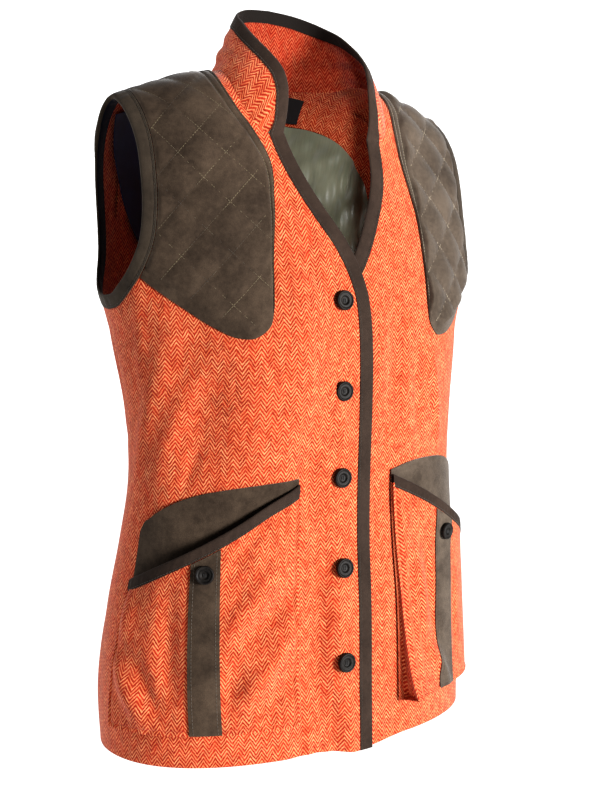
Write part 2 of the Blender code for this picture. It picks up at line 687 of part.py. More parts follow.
def edge_binding():
    """One tape up the right front, round the collar's edge and down the left front."""
    halves = []
    for side in ("right", "left"):
        height = edge_heights()
        angle = front_edge(side, height)
        far_angle, far_height = inward(angle, height, -sign(side), FRONT_BINDING)
        far_height[0] = HEM
        front_rows = [place(angle, height, 0.0, side), place(far_angle, far_height, 0.0, side),
                      outward(angle, height), outward(far_angle, far_height)]
        half = CollarHalf(side, COLLAR_SHARES)
        collar_rows = [half.edge, half.point(half.below(np.full(len(half.length), COLLAR_BINDING))),
                       half.normal, half.normal]
        # between the joint and the collar's cloth the tape turns from one to the other
        turn = np.array((0.35, 0.7))
        edge = collar_lines(turn * COLLAR_START, side)[0]
        start = front_rows[1][-1] - front_rows[0][-1]
        end = collar_rows[1][0] - collar_rows[0][0]
        far = edge + start * (1 - turn[:, None]) + end * turn[:, None]
        normal = unit(front_rows[2][-1] * (1 - turn[:, None]) + half.normal[0] * turn[:, None])
        turning = [edge, far, normal, normal]
        halves.append([np.concatenate(rows) for rows in zip(front_rows, turning, collar_rows)])
    rails = [np.concatenate([right, left[-2::-1]]) for right, left in zip(*halves)]
    return binding("edge_binding", *rails, BIND_HALF, -BIND_HALF, "binding")


def armhole_binding(side):
    """The tape round one armhole; beside the shoulder patch it is folded over the patch too."""
    edge_angle, edge_height = armhole(side, 0.0)
    far_angle, far_height = armhole(side, ARM_BINDING)
    share = closer(ARM_ROWS + 1)
    over_front = ease((share - PATCH_FROM) / PATCH_FADE)
    over_back = ease((share - PATCH_TO) / PATCH_FADE)
    cover = np.concatenate([over_front, over_back[-2:0:-1]])
    high = BIND_HALF + (PATCH_BINDING - BIND_HALF) * cover
    return binding("armhole_binding_" + side, form(edge_angle, edge_height), form(far_angle, far_height),
                   outward(edge_angle, edge_height), outward(far_angle, far_height),
                   high, -BIND_HALF, "binding", ring=True)


# the quilted shoulder patches

def quilt(angle, height, border):
    """How far the padding stands up between the crossing lines of stitches."""
    across = QUILT_RADIUS * np.abs(angle)
    first = np.abs(np.sin(math.pi * (across + height) / (QUILT_PITCH * math.sqrt(2))))
    second = np.abs(np.sin(math.pi * (across - height) / (QUILT_PITCH * math.sqrt(2))))
    puff = QUILT_PUFF * np.sqrt(first * second)
    return puff * ease((border / PATCH_BORDER - 0.6) / 0.8)


def patch(side):
    """Suede over one shoulder: quilted down the front, ending a little behind the shoulder line."""
    s = sign(side)
    columns, back_rows = 11, 4
    across = np.linspace(0, 1, columns)
    # rows at each row of the armhole binding and halfway between
    arm_angle, arm_height = armhole(side, ARM_BINDING + PATCH_GAP)
    arm_angle = s * arm_angle
    rows = np.arange(2 * (ARM_ROWS - PATCH_ARM_ROW) + 1) / 2 + PATCH_ARM_ROW
    stations = np.arange(ARM_ROWS + 1)
    arm = pair(np.interp(rows, stations, arm_angle[:ARM_ROWS + 1]),
               np.interp(rows, stations, arm_height[:ARM_ROWS + 1]))
    up = (rows - PATCH_ARM_ROW) / (ARM_ROWS - PATCH_ARM_ROW)
    degrees, height = np.moveaxis(curve(PATCH_EDGE[side], up), -1, 0)
    inner = pair(np.radians(degrees), np.minimum(height, TOP))
    inner[-1, 1] = TOP
    degrees, height = np.moveaxis(curve(PATCH_FOOT[side], across), -1, 0)
    foot = pair(np.radians(degrees), height)
    foot = foot + (arm[0] - foot[-1]) * across[:, None] ** 2
    top = inner[-1] * (1 - across[:, None]) + arm[-1] * across[:, None]
    front_grid = coons(foot, top, inner, arm, across, up)
    # behind the shoulder
    arm_angle, arm_height = arm_back(side, ARM_BINDING + PATCH_GAP)
    rows = ARM_ROWS - np.arange(1, 2 * back_rows + 1) / 2
    end = pair(np.interp(rows, stations, arm_angle), np.interp(rows, stations, arm_height))
    down = ((TOP - end[:, 1]) / (TOP - end[-1, 1]))[:, None]
    corner = pair(math.radians(PATCH_BACK_INNER), end[-1, 1])
    start = pair(math.pi - inner[-1, 0], TOP) * (1 - down) + corner * down
    grid = np.concatenate([front_grid, between(start, end, across)])
    angle, height = s * grid[..., 0], grid[..., 1]
    points = form(angle, height)
    normal = outward(angle, height)
    # distance in from the inner, lower and back edges
    length = np.linalg.norm(np.diff(points, axis=1), axis=2).sum(1)
    border = np.minimum.reduce([
        across[None, :] * length[:, None],
        np.linalg.norm(points - points[:1], axis=-1),
        np.linalg.norm(points - points[-1:], axis=-1),
    ])
    inner_skin = points + (lap(side, points[..., 0], height) + PATCH_LOW)[..., None] * normal
    outer_skin = inner_skin + (SUEDE + quilt(angle, height, border))[..., None] * normal
    return double("shoulder_patch_" + side, outer_skin, inner_skin, "suede")


# the pockets

def mouth(side, share):
    height, stand_off = np.moveaxis(curve(MOUTH[side], share), -1, 0)
    return height, stand_off


def pocket_angle(side, share):
    first, last = POCKET_SPAN[side]
    return sign(side) * np.radians(first + (last - first) * np.asarray(share, float))


def bag_depth(side, share, height):
    """How far the bag's face stands off the form."""
    mouth_height, mouth_depth = mouth(side, share)
    fallen = np.clip((mouth_height - height) / (mouth_height - POCKET_BOTTOM), 0, 1)
    at_inner, at_middle, at_outer = np.moveaxis(curve(BAG_DEPTH[side], fallen), -1, 0)
    near = np.sin(math.pi / 2 * np.clip(share / BAG_SHOULDER, 0, 1))
    far = np.sin(math.pi / 2 * np.clip((1 - share) / BAG_SHOULDER, 0, 1))
    depth = np.where(share < 0.5, at_inner + (at_middle - at_inner) * near,
                     at_outer + (at_middle - at_outer) * far)
    blend = ease(fallen / BAG_NECK)
    return mouth_depth + (depth - mouth_depth) * blend


STRAP_COLUMN = 3             # number of the bag's column at the strap's inner edge


def bag_shares(side, down):
    """Shares of the way out of the bag's columns: its edges, and the strap's edges and middle."""
    first, last = POCKET_SPAN[side]
    top, bottom = STRAP_LINE[side]
    middle = (top + (bottom - top) * down - first) / (last - first)
    half = math.degrees(STRAP_HALF / POCKET_RADIUS) / (last - first)
    inner, outer = middle - half, middle + half
    rim = BAG_RIM_TOP + (BAG_RIM - BAG_RIM_TOP) * down
    before = [rim] + [inner * share for share in (0.25, 0.62)]
    after = [outer + (1 - outer) * share for share in (0.35, 0.68)]
    columns = before + [inner, middle, outer] + after + [1 - rim]
    return np.array(columns)


def bag_grid(side):
    """Points of the bag's face, bottom row to top row, inner column to outer column."""
    up = np.array((0.0, 0.10, 0.22, 0.36, 0.50, 0.64, 0.78, 0.90, 1.0))
    share = np.array([bag_shares(side, 1 - row) for row in up])
    # the wall's thickness reaches a little further out along the slope of the mouth
    reach = share.copy()
    reach[:, 0] += math.degrees(TWEED / POCKET_RADIUS) / (POCKET_SPAN[side][1] - POCKET_SPAN[side][0])
    top = mouth(side, reach)[0] - MOUTH_BINDING - MOUTH_GAP
    bottom = POCKET_BOTTOM + BAG_RISE
    height = bottom + (top - bottom) * up[:, None]
    return share, height, place(pocket_angle(side, share), height, bag_depth(side, share, height), side)


def bag(side):
    """The pocket's face with the gusset that joins it to the front, open at the mouth."""
    share, height, face = bag_grid(side)
    inner = place(pocket_angle(side, 0.0), height[:, 0], POCKET_FOOT, side)
    outer = place(pocket_angle(side, 1.0), height[:, -1], POCKET_FOOT, side)
    foot_angle = pocket_angle(side, np.concatenate([[0.0], share[0], [1.0]]))
    foot = place(foot_angle, POCKET_BOTTOM, POCKET_FOOT, side)
    points = np.concatenate([inner[:, None], face, outer[:, None]], 1)
    points = np.concatenate([foot[None], points])
    if side == "right":
        points = points[:, ::-1]
    return cloth("pocket_bag_" + side, points, TWEED, "tweed", bias=-1.0)


def mouth_binding(side):
    """The tape along the pocket's open edge."""
    share = bag_shares(side, 0.0)
    height, off = mouth(side, share)
    angle = pocket_angle(side, share)
    low = height - MOUTH_BINDING
    edge = place(angle, height, off - TWEED / 2, side)
    far = place(angle, low, bag_depth(side, share, low) - TWEED / 2, side)
    return binding("pocket_mouth_" + side, edge, far, outward(angle, height), outward(angle, low),
                   MOUTH_HALF, -MOUTH_HALF, "binding")


def backing(side):
    """Suede on the front behind the pocket's mouth."""
    across = np.concatenate([np.linspace(0.020, 0.90, 8), (0.94, 0.974)])
    top = curve(BACKING_TOP[side], across)[..., 0]
    bottom = mouth(side, across)[0] - BACKING_BELOW
    share = np.linspace(0, 1, 4)[:, None]
    height = bottom * (1 - share) + top * share
    angle = np.broadcast_to(pocket_angle(side, across)[None, :], height.shape)
    return cloth("pocket_backing_" + side, place(angle, height, BACKING_LOW + BACKING / 2, side),
                 BACKING, "suede")


def strap(side):
    """The suede strap down the pocket's face, and the button at its top."""
    face = bag_grid(side)[2]
    normal = sign(side) * unit(np.cross(np.gradient(face, axis=1), np.gradient(face, axis=0)))
    first = STRAP_COLUMN
    points = face[:, first:first + 3] + (GAP + BACKING / 2) * normal[:, first:first + 3]
    cloth("pocket_strap_" + side, points, BACKING, "suede")
    length = np.linalg.norm(face[-1, first + 1] - face[0, first + 1])
    share = STRAP_BUTTON / length * (len(face) - 1)
    row = len(face) - 1 - share
    low = int(row)
    part = row - low
    point = points[low, 1] * (1 - part) + points[low + 1, 1] * part
    way = unit(normal[low, first + 1] * (1 - part) + normal[low + 1, first + 1] * part)
    button("pocket_button_" + side, point + (BACKING / 2 + BUTTON_SHANK) * way, way, POCKET_BUTTON_RADIUS)


# buttons

# a button's profile from the middle of its face over the rim to the middle of its back:
# share of the radius, height
BUTTON_PROFILE = (
    (0.00, 0.0034), (0.38, 0.0032), (0.50, 0.0036), (0.66, 0.0050), (0.86, 0.0052),
    (1.00, 0.0034), (0.95, 0.0010), (0.60, 0.0000), (0.00, 0.0000),
)


def button_mesh(name, radius):
    """Profile of a dished button with a raised rim."""
    mesh = bpy.data.meshes.new(name)
    points = [(share * radius, 0.0, height * radius / BUTTON_RADIUS) for share, height in BUTTON_PROFILE]
    mesh.from_pydata(points, [(i, i + 1) for i in range(len(points) - 1)], [])
    return mesh


def button(name, point, normal, radius):
    obj = add(name, button_mesh(name, radius), "horn")
    turn = obj.modifiers.new("turned", "SCREW")
    turn.steps = 12
    turn.render_steps = 12
    turn.use_merge_vertices = True
    turn.merge_threshold = 0.00005
    turn.use_smooth_shade = True
    facing = Vector(normal)
    up = facing.cross(Vector((1, 0, 0))).normalized()
    across = up.cross(facing).normalized()
    turned = Matrix((across, up, facing)).transposed().to_4x4()
    obj.matrix_world = Matrix.Translation(Vector(point)) @ turned


def front_buttons():
    for number, height in enumerate(BUTTON_HEIGHTS, 1):
        angle = angle_at(BUTTON_X, height)
        point = place(angle, height, TWEED / 2 + BUTTON_SHANK, "right")
        button("front_button_%d" % number, point, outward(angle, height), BUTTON_RADIUS)


# inside the back

def along_rows(table, share):
    """Curve through a table's rows, evenly numbered."""
    return curve(np.column_stack([np.linspace(0, 1, len(table)), table]), share)


def both_halves(angle, height):
    """A grid over the left half of the back, from the middle outward, with its mirror image."""
    return (np.concatenate([angle[:, ::-1], 2 * math.pi - angle[:, 1:]], 1),
            np.concatenate([height[:, ::-1], height[:, 1:]], 1))


def facing():
    """Tweed facing inside the back neck, with a leg down beside the lining on each side."""
    share = np.linspace(0, 1, 13)
    edge = along_rows(FACING_EDGE, share)
    outer = along_rows(FACING_OUTER, share)
    rows = np.linspace(0, 1, 4)[:, None, None]
    half = edge[None] * (1 - rows) + outer[None] * rows
    angle, height = both_halves(math.pi - np.radians(half[..., 0]), half[..., 1])
    off = -TWEED / 2 - LINING_GAP - LINING / 2
    return cloth("back_neck_facing", place(angle, height, off), LINING, "tweed")


def lining():
    """Lining inside the back, from under the facing to above the hem."""
    share = np.linspace(0, 1, 7)
    edge = along_rows(FACING_EDGE, share)
    rows = np.linspace(0, 1, 14)[:, None]
    top_height = edge[:, 1] - FACING_GAP
    top_angle = math.pi - np.radians(edge[:, 0] * (1 - FACING_GAP / LINING_RADIUS))
    low_angle = math.pi - np.radians(LINING_SIDE) * share
    spread = ease(rows / 0.35)
    angle = top_angle[None, :] * (1 - spread) + low_angle[None, :] * spread
    height = top_height[None, :] + (LINING_HEM - top_height[None, :]) * rows
    angle, height = both_halves(angle, height)
    off = -TWEED / 2 - LINING_GAP - LINING / 2
    return cloth("back_lining", place(angle, height, off), LINING, "olive")


def arm_lining(side):
    """The dark inner layer seen through an armhole, at the back of the shoulder."""
    table = ARM_LINING[side]
    height = np.linspace(table[0, 0], table[-1, 0], 8)
    edge, far = np.moveaxis(curve(table, height), -1, 0)
    across = np.array((0.0, 0.5, 1.0))[None, :]
    degrees = edge[:, None] * (1 - across) + far[:, None] * across
    angle = sign(side) * (math.pi - np.radians(degrees))
    grid_height = np.broadcast_to(height[:, None], angle.shape)
    off = -TWEED / 2 - LINING_GAP - LINING - ARM_LINING_GAP - LINING / 2
    return cloth("arm_lining_" + side, place(angle, grid_height, off), LINING, "navy")


def label():
    """The bare label on the facing."""
    x = np.linspace(-LABEL_HALF, LABEL_HALF, 9)[None, :]
    top, bottom = LABEL_HEIGHTS
    z = np.array((bottom, (top + bottom) / 2, top))[:, None]
    z, x = np.broadcast_arrays(z, x)
    # the height round the shoulder at which the back stands at each z
    low = np.full(x.shape, ARMPIT)
    high = np.full(x.shape, SEAM_BACK[-1, 2])
    for _ in range(40):
        middle = (low + high) / 2
        beneath = form(angle_at(x, middle, back=True), middle)[..., 2] < z
        low = np.where(beneath, middle, low)
        high = np.where(beneath, high, middle)
    angle = angle_at(x, low, back=True)
    off = -TWEED / 2 - LINING_GAP - LINING - LABEL_GAP - LINING / 2
    return cloth("label", place(angle, low, off), LINING, "label")


for old in list(bpy.data.objects):
    bpy.data.objects.remove(old, do_unlink=True)
bpy.context.scene.collection.children.link(gilet)
stand = bpy.data.objects.new("gilet_stand", None)
gilet.objects.link(stand)

for which in ("right", "left"):
    front(which)
back()
collar()
edge_binding()
for which in ("right", "left"):
    armhole_binding(which)
    patch(which)
    backing(which)
    bag(which)
    mouth_binding(which)
    strap(which)
    arm_lining(which)
front_buttons()
facing()
lining()
label()
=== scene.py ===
"""Looks of the tweed gilet: cloth, suede, tapes, stitches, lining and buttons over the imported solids.

The cloth is laid out on the same body form as the part's solids, by an angle round it from the
front middle and by a height, and is creased softly. Metres throughout.
"""
import math

import bmesh
import bpy
import numpy as np
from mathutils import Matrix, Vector


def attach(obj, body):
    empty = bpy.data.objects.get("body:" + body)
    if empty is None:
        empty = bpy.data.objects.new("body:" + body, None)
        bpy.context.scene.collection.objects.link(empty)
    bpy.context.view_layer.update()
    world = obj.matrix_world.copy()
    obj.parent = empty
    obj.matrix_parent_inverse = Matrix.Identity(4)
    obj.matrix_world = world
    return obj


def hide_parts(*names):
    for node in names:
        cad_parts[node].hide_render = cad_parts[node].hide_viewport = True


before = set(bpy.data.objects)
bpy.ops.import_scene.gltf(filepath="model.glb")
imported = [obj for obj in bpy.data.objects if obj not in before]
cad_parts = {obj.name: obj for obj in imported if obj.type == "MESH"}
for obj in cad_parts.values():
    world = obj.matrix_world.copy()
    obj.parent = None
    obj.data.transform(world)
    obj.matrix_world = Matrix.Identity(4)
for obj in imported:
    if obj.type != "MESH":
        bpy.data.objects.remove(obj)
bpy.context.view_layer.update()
scene = bpy.context.scene

FINE = 5                     # rows here for each row of the part's solids
LOW_ROWS = 14 * FINE + 1     # from the hem to the armpit line
EDGE_ROWS = 10 * FINE        # from there to the joint with the collar
SEAM_ROWS = 8 * FINE         # from there up the collar seam to the shoulder line
ARM_ROWS = EDGE_ROWS + SEAM_ROWS

# thicknesses
TWEED = 0.0020
SUEDE = 0.0018
BACKING = 0.0012
LINING = 0.0010
BIND_HALF = 0.0017           # half the thickness of a folded edge binding
TAPE = 0.0008                # thickness of its tape

# heights
ARMPIT = -0.260              # the armpit line, where the shoulders start to close in
RISE = 0.258                 # from the armpit line to the shoulder line
TOP = ARMPIT + RISE * math.pi / 2
HEM = -0.681
UNDERARM = -0.219            # lowest point of the armhole's free edge

# the front closing
BUTTON_X = -0.0117           # the line of buttons, a little to the wearer's right
BUTTON_HEIGHTS = (-0.2330, -0.3200, -0.4065, -0.4970, -0.5915)
BUTTON_RADIUS = 0.0100
POCKET_BUTTON_RADIUS = 0.0090
BUTTON_SHANK = 0.0007        # between a button and the cloth
LAP_LIFT = 0.0021            # how far each front moves off the form where the two lap
LAP_TOP = -0.10              # height where the fronts no longer lap
LAP_FADE = 0.06              # height over which they come to lap, below that
# x at which each front lies on the form again, and the distance over which it comes back to it
LAP_SIDE = {"right": (-0.095, 0.035), "left": (0.085, 0.040)}

# visible widths of the folded bindings
FRONT_BINDING = 0.0165
COLLAR_BINDING = 0.0130
ARM_BINDING = 0.0140
MOUTH_BINDING = 0.0130

# body sections: height, half width, front depth, back depth, centre y
SECTIONS = np.array((
    (-0.760, 0.2110, 0.1250, 0.1170, 0.0000),
    (-0.690, 0.2110, 0.1240, 0.1165, 0.0000),
    (-0.620, 0.2113, 0.1225, 0.1140, 0.0000),
    (-0.540, 0.2050, 0.1165, 0.1085, -0.0045),
    (-0.470, 0.1945, 0.1055, 0.0980, -0.0110),
    (-0.410, 0.1880, 0.0985, 0.0915, -0.0170),
    (-0.340, 0.1903, 0.1010, 0.0940, -0.0165),
    (-0.260, 0.2004, 0.1115, 0.1040, -0.0075),
    (-0.200, 0.2050, 0.1140, 0.1050, -0.0020),
))
SQUARENESS = 0.04            # how much fuller than an ellipse the sections are
BUST = {"swell": 0.006, "angle": 0.72, "height": -0.285, "wide": 0.34, "tall": 0.065}
FRONT_HOLLOW = 0.10          # how much flatter than an arc the front closes in to the shoulder
BACK_ROUND = 0.72            # power that rounds the back out below the shoulder line
SHOULDER_SHIFT = 0.002       # how far back the shoulder line lies
# how far up the shoulders (0 armpit line, 1 top), how much wider the sides stand there
FLARE = np.array((
    (0.00, 0.000), (0.06, 0.035), (0.13, 0.075), (0.25, 0.100),
    (0.50, 0.105), (0.75, 0.075), (1.00, 0.040), (1.20, 0.020),
))
# and how much wider again over the wearer's left front
FLARE_LEFT = np.array((
    (0.00, 0.000), (0.13, 0.040), (0.25, 0.065), (0.38, 0.085), (0.50, 0.105),
    (0.62, 0.095), (0.75, 0.045), (0.86, 0.005), (0.94, 0.000), (1.20, 0.000),
))
FLARE_FADE = 2.5             # how fast that fades out behind the side
# distance from the middle, height of the shoulder line
RIDGE = np.array((
    (0.000, 0.0120), (0.045, 0.0100), (0.085, 0.0000), (0.120, -0.0100),
    (0.150, -0.0195), (0.185, -0.0320), (0.209, -0.0420), (0.235, -0.0550),
))

JOINT = -0.053               # where each front's free edge passes into the collar's
# free edge of the wearer's right front, which laps over: height, x
EDGE_RIGHT = np.array((
    (-0.720, 0.0235), (-0.685, 0.0235), (-0.494, 0.0240), (-0.331, 0.0258), (-0.281, 0.0250),
    (-0.251, 0.0235), (-0.223, 0.0195), (-0.196, 0.0100), (-0.177, 0.0005), (-0.143, -0.0210),
    (-0.101, -0.0395), (-0.077, -0.0465), (JOINT, -0.0505),
))
# free edge of the wearer's left front, which lies under: height, x
EDGE_LEFT = np.array((
    (-0.720, -0.0460), (-0.320, -0.0460), (-0.265, -0.0410), (-0.235, -0.0260), (-0.214, -0.0100),
    (-0.196, 0.0050), (-0.179, 0.0155), (-0.148, 0.0310), (-0.107, 0.0450), (-0.077, 0.0490),
    (JOINT, 0.0505),
))
# collar seam down each front: share of the way from the joint to the shoulder, x, height
SEAM_FRONT = np.array((
    (0.00, 0.0505, JOINT), (0.10, 0.0655, -0.0530), (0.20, 0.0755, -0.0420), (0.40, 0.0850, -0.0120),
    (0.60, 0.0905, 0.0340), (0.80, 0.0895, 0.0900), (1.00, 0.0855, TOP),
))
# collar seam across the back: share of the way from the shoulder to the middle, x, height
SEAM_BACK = np.array((
    (0.00, 0.0855, TOP), (0.15, 0.0835, 0.1220), (0.35, 0.0720, 0.0920), (0.60, 0.0480, 0.0660),
    (0.80, 0.0240, 0.0540), (1.00, 0.0000, 0.0510),
))
# free edge of the collar: share of the way from the joint to the back middle, x, y, z
COLLAR_EDGE = np.array((
    (0.00, 0.0505, -0.0750, -0.0670), (0.09, 0.0500, -0.0795, -0.0520),
    (0.18, 0.0490, -0.0810, -0.0350), (0.26, 0.0490, -0.0795, -0.0190),
    (0.34, 0.0515, -0.0740, -0.0040), (0.44, 0.0570, -0.0610, 0.0120),
    (0.53, 0.0605, -0.0460, 0.0250), (0.61, 0.0612, -0.0300, 0.0370),
    (0.70, 0.0592, -0.0120, 0.0500), (0.78, 0.0550, 0.0040, 0.0590),
    (0.86, 0.0450, 0.0190, 0.0680), (0.93, 0.0270, 0.0300, 0.0750),
    (1.00, 0.0000, 0.0345, 0.0780),
))
COLLAR_LEAN = 1.1            # power that leans the lines from edge to seam backwards at the front
COLLAR_MEET = 0.3            # share over which the edge comes down to the joint on the front
COLLAR_FULL = 0.05           # height of collar at which it bows out fully
COLLAR_SIDE = 0.74           # share of that edge that stands over the shoulder line
COLLAR_START = 0.16          # share at which the collar is tall enough to show inside its binding
COLLAR_ROUND = 0.0025        # how far the collar bows out between seam and edge

# free edge of the armhole over the front, from the underarm: share, degrees round, height
ARM_FRONT = np.array((
    (0.00, 90.0, UNDERARM), (0.10, 83.0, -0.2165), (0.19, 76.5, -0.2060), (0.28, 70.5, -0.1920),
    (0.37, 66.3, -0.1740), (0.45, 63.6, -0.1550), (0.55, 61.6, -0.1220), (0.66, 61.0, -0.0800),
    (0.77, 61.8, -0.0220), (0.88, 66.0, 0.0470), (0.95, 70.5, 0.1000), (1.00, 74.0, TOP),
))
# the same over the back
ARM_BACK = np.array((
    (0.00, 90.0, UNDERARM), (0.12, 97.5, -0.2165), (0.24, 106.0, -0.2050), (0.36, 112.5, -0.1800),
    (0.48, 114.0, -0.1480), (0.60, 112.5, -0.1080), (0.72, 109.0, -0.0550), (0.86, 106.0, 0.0300),
    (1.00, 106.0, TOP),
))

# shoulder patches, inner edge from the tip up to the shoulder line: share, degrees round, height
PATCH_EDGE = {
    "right": np.array((
        (0.00, 25.4, -0.2400), (0.22, 23.5, -0.1830), (0.42, 21.3, -0.1320), (0.58, 20.6, -0.0850),
        (0.68, 23.6, -0.0450), (0.78, 27.0, -0.0050), (0.88, 29.0, 0.0500), (1.00, 28.5, TOP),
    )),
    "left": np.array((
        (0.00, 30.4, -0.2350), (0.22, 30.2, -0.1870), (0.40, 29.6, -0.1360), (0.54, 28.2, -0.1050),
        (0.68, 26.8, -0.0600), (0.78, 27.4, -0.0150), (0.88, 29.0, 0.0500), (1.00, 28.5, TOP),
    )),
}
# lower edge from the tip out to the armhole: share, degrees round, height
PATCH_FOOT = {
    "right": np.array((
        (0.00, 25.4, -0.2400), (0.08, 26.8, -0.2560), (0.17, 31.0, -0.2670), (0.28, 36.0, -0.2680),
        (0.45, 43.5, -0.2590), (0.68, 54.0, -0.2400), (0.88, 63.5, -0.2210), (1.00, 68.6, -0.2105),
    )),
    "left": np.array((
        (0.00, 30.4, -0.2350), (0.08, 31.2, -0.2530), (0.17, 34.5, -0.2660), (0.28, 39.0, -0.2670),
        (0.45, 46.0, -0.2600), (0.68, 56.0, -0.2410), (0.88, 64.2, -0.2210), (1.00, 68.6, -0.2105),
    )),
}
# shares of the armhole where its binding thickens over the patch, in front and behind
PATCH_FROM, PATCH_TO, PATCH_FADE = 0.20, 0.72, 0.12
PATCH_LOW = 0.0018           # inner face of a patch, off the form
PATCH_GAP = 0.0006           # between a patch and the armhole's tape
PATCH_ARM_ROW = 4            # row of the armhole binding at which the patch meets it
PATCH_BACK_INNER = 150.0     # degrees round of its inner corner behind the shoulder
PATCH_BINDING = 0.0048       # outer face of the armhole binding beside a patch, off the form

# pockets: degrees round of the inner and outer edges
POCKET_SPAN = {"right": (17.9, 78.5), "left": (16.6, 67.5)}
POCKET_BOTTOM = -0.6450
POCKET_FOOT = 0.0027         # where a bag's gusset is sewn down, off the form
BAG_RIM = 0.018              # share of a bag's width that its gusset leans in by at the bottom
BAG_RIM_TOP = 0.004          # and at the mouth
BAG_SHOULDER = 0.45          # share of its width over which it comes up to its middle's depth
BAG_NECK = 0.25              # share of its height over which it opens out below the mouth
BAG_RISE = 0.0030            # how far its gusset leans in at the bottom
BACKING_LOW = 0.0018         # inner face of the suede behind a mouth, off the form
MOUTH_GAP = 0.0008           # between that tape and the bag below it
MOUTH_HALF = 0.0015          # half the thickness of the tape on a pocket's edge
# mouth: share of the way out, height, how far the bag's edge stands off the form
MOUTH = {
    "right": np.array((
        (0.00, -0.4090, 0.0062), (0.16, -0.4250, 0.0105), (0.32, -0.4440, 0.0145), (0.51, -0.4640, 0.0165),
        (0.71, -0.4822, 0.0150), (0.86, -0.4935, 0.0105), (1.00, -0.5020, 0.0062),
    )),
    "left": np.array((
        (0.00, -0.4080, 0.0062), (0.10, -0.4158, 0.0090), (0.23, -0.4267, 0.0125), (0.38, -0.4407, 0.0155),
        (0.57, -0.4587, 0.0165), (0.70, -0.4690, 0.0150), (0.85, -0.4820, 0.0105), (1.00, -0.4940, 0.0062),
    )),
}
# how far a bag's face stands off: share of the way down, at the inner edge, middle, outer edge
BAG_DEPTH = {
    "right": np.array((
        (0.0, 0.0062, 0.0160, 0.0062), (0.2, 0.0070, 0.0185, 0.0090), (0.5, 0.0100, 0.0205, 0.0145),
        (0.8, 0.0160, 0.0220, 0.0185), (1.0, 0.0190, 0.0215, 0.0195),
    )),
    "left": np.array((
        (0.0, 0.0062, 0.0160, 0.0062), (0.2, 0.0058, 0.0128, 0.0075), (0.5, 0.0070, 0.0098, 0.0085),
        (0.8, 0.0155, 0.0105, 0.0088), (0.92, 0.0225, 0.0118, 0.0080), (1.0, 0.0310, 0.0130, 0.0065),
    )),
}
# top edge of the backing behind the mouth: share of the way out, height
BACKING_TOP = {
    "right": np.array((
        (0.00, -0.4045), (0.20, -0.4080), (0.40, -0.4125), (0.57, -0.4180), (0.75, -0.4280),
        (0.90, -0.4410), (0.97, -0.4500), (1.00, -0.4620),
    )),
    "left": np.array((
        (0.00, -0.4045), (0.16, -0.3980), (0.36, -0.3958), (0.60, -0.3990), (0.75, -0.4060),
        (0.90, -0.4200), (0.97, -0.4350), (1.00, -0.4500),
    )),
}
BACKING_BELOW = 0.022        # how far the backing runs down inside the bag
# straps down the bags: degrees round of the middle at the top and at the bottom
STRAP_LINE = {"right": (46.6, 43.8), "left": (38.0, 34.4)}
STRAP_HALF = 0.0140
STRAP_BUTTON = 0.0160        # from the strap's top to its button's middle
POCKET_RADIUS = 0.185        # turns degrees round into distance over a pocket

# lower edge of the facing inside the back neck, from the middle: degrees from the back middle, height
FACING_EDGE = np.array((
    (0.0, -0.0120), (12.0, -0.0090), (24.0, -0.0050), (33.0, -0.0180), (40.0, -0.0520),
    (44.5, -0.0860), (47.0, -0.1300),
))
# its outer edge, at matching points
FACING_OUTER = np.array((
    (0.0, 0.0480), (10.0, 0.0500), (20.0, 0.0570), (36.0, 0.0600), (49.0, 0.0050),
    (53.0, -0.0600), (54.0, -0.1300),
))
LINING_SIDE = 53.0           # degrees from the back middle to the lining's side
LINING_HEM = -0.655
LINING_RADIUS = 0.15         # turns degrees round into distance inside the back
LINING_UNDER = 0.3           # share of the facing's gap by which the lining's top edge lies below it
LINING_SPREAD = 0.35         # share of its height over which it comes out to its side
LINING_NARROW = 0.28         # how much narrower its right half hangs
LINING_NARROW_FADE = 0.10    # height over which it narrows, from the shoulder points down
LINING_LOW = 0.0022          # how far inside the facing it hangs
# its hanging folds: rise, pitch, how fast they lean with the height, where they begin, height of their fade
LINING_FOLDS = (
    (0.0016, 0.027, 11.0, 0.02, 0.06),
    (0.0009, 0.013, -14.0, 0.00, 0.08),
    (0.0012, 0.034, 110.8797, 0.00, 0.05),
)
# its one narrow fold, which leans as it falls and fades out towards its end
DART = {"depth": 0.0060, "half": 0.0030, "across": -0.094, "height": -0.060, "lean": 0.05,
        "end": -0.110, "fade": 0.04}
FACING_GAP = 0.0010          # between the facing's lower edge and the lining
# inner layer at the back of each armhole, whose navy paints the back lining's deep shade there: height, its
# edge and its far side, degrees from the back middle
ARM_LINING = {
    "right": np.array((
        (-0.175, 40.5, 37.0), (-0.150, 45.0, 37.0), (-0.110, 51.0, 38.0), (-0.064, 56.0, 41.0),
        (-0.030, 59.5, 44.0), (0.010, 62.0, 48.0), (0.060, 64.0, 52.0),
    )),
    "left": np.array((
        (-0.151, 48.5, 46.5), (-0.129, 49.5, 46.5), (-0.102, 51.5, 47.0), (-0.064, 54.0, 47.5),
        (-0.030, 57.0, 49.0), (0.010, 60.0, 51.0), (0.060, 63.0, 54.0),
    )),
}
LINING_GAP = 0.0020          # between the back and what lines it
ARM_LINING_GAP = 0.0011      # between the lining and the dark layer at an armhole
LABEL_GAP = 0.0007           # between the facing and the label
LABEL_HALF = 0.050
LABEL_HEIGHTS = (-0.0030, -0.0330)


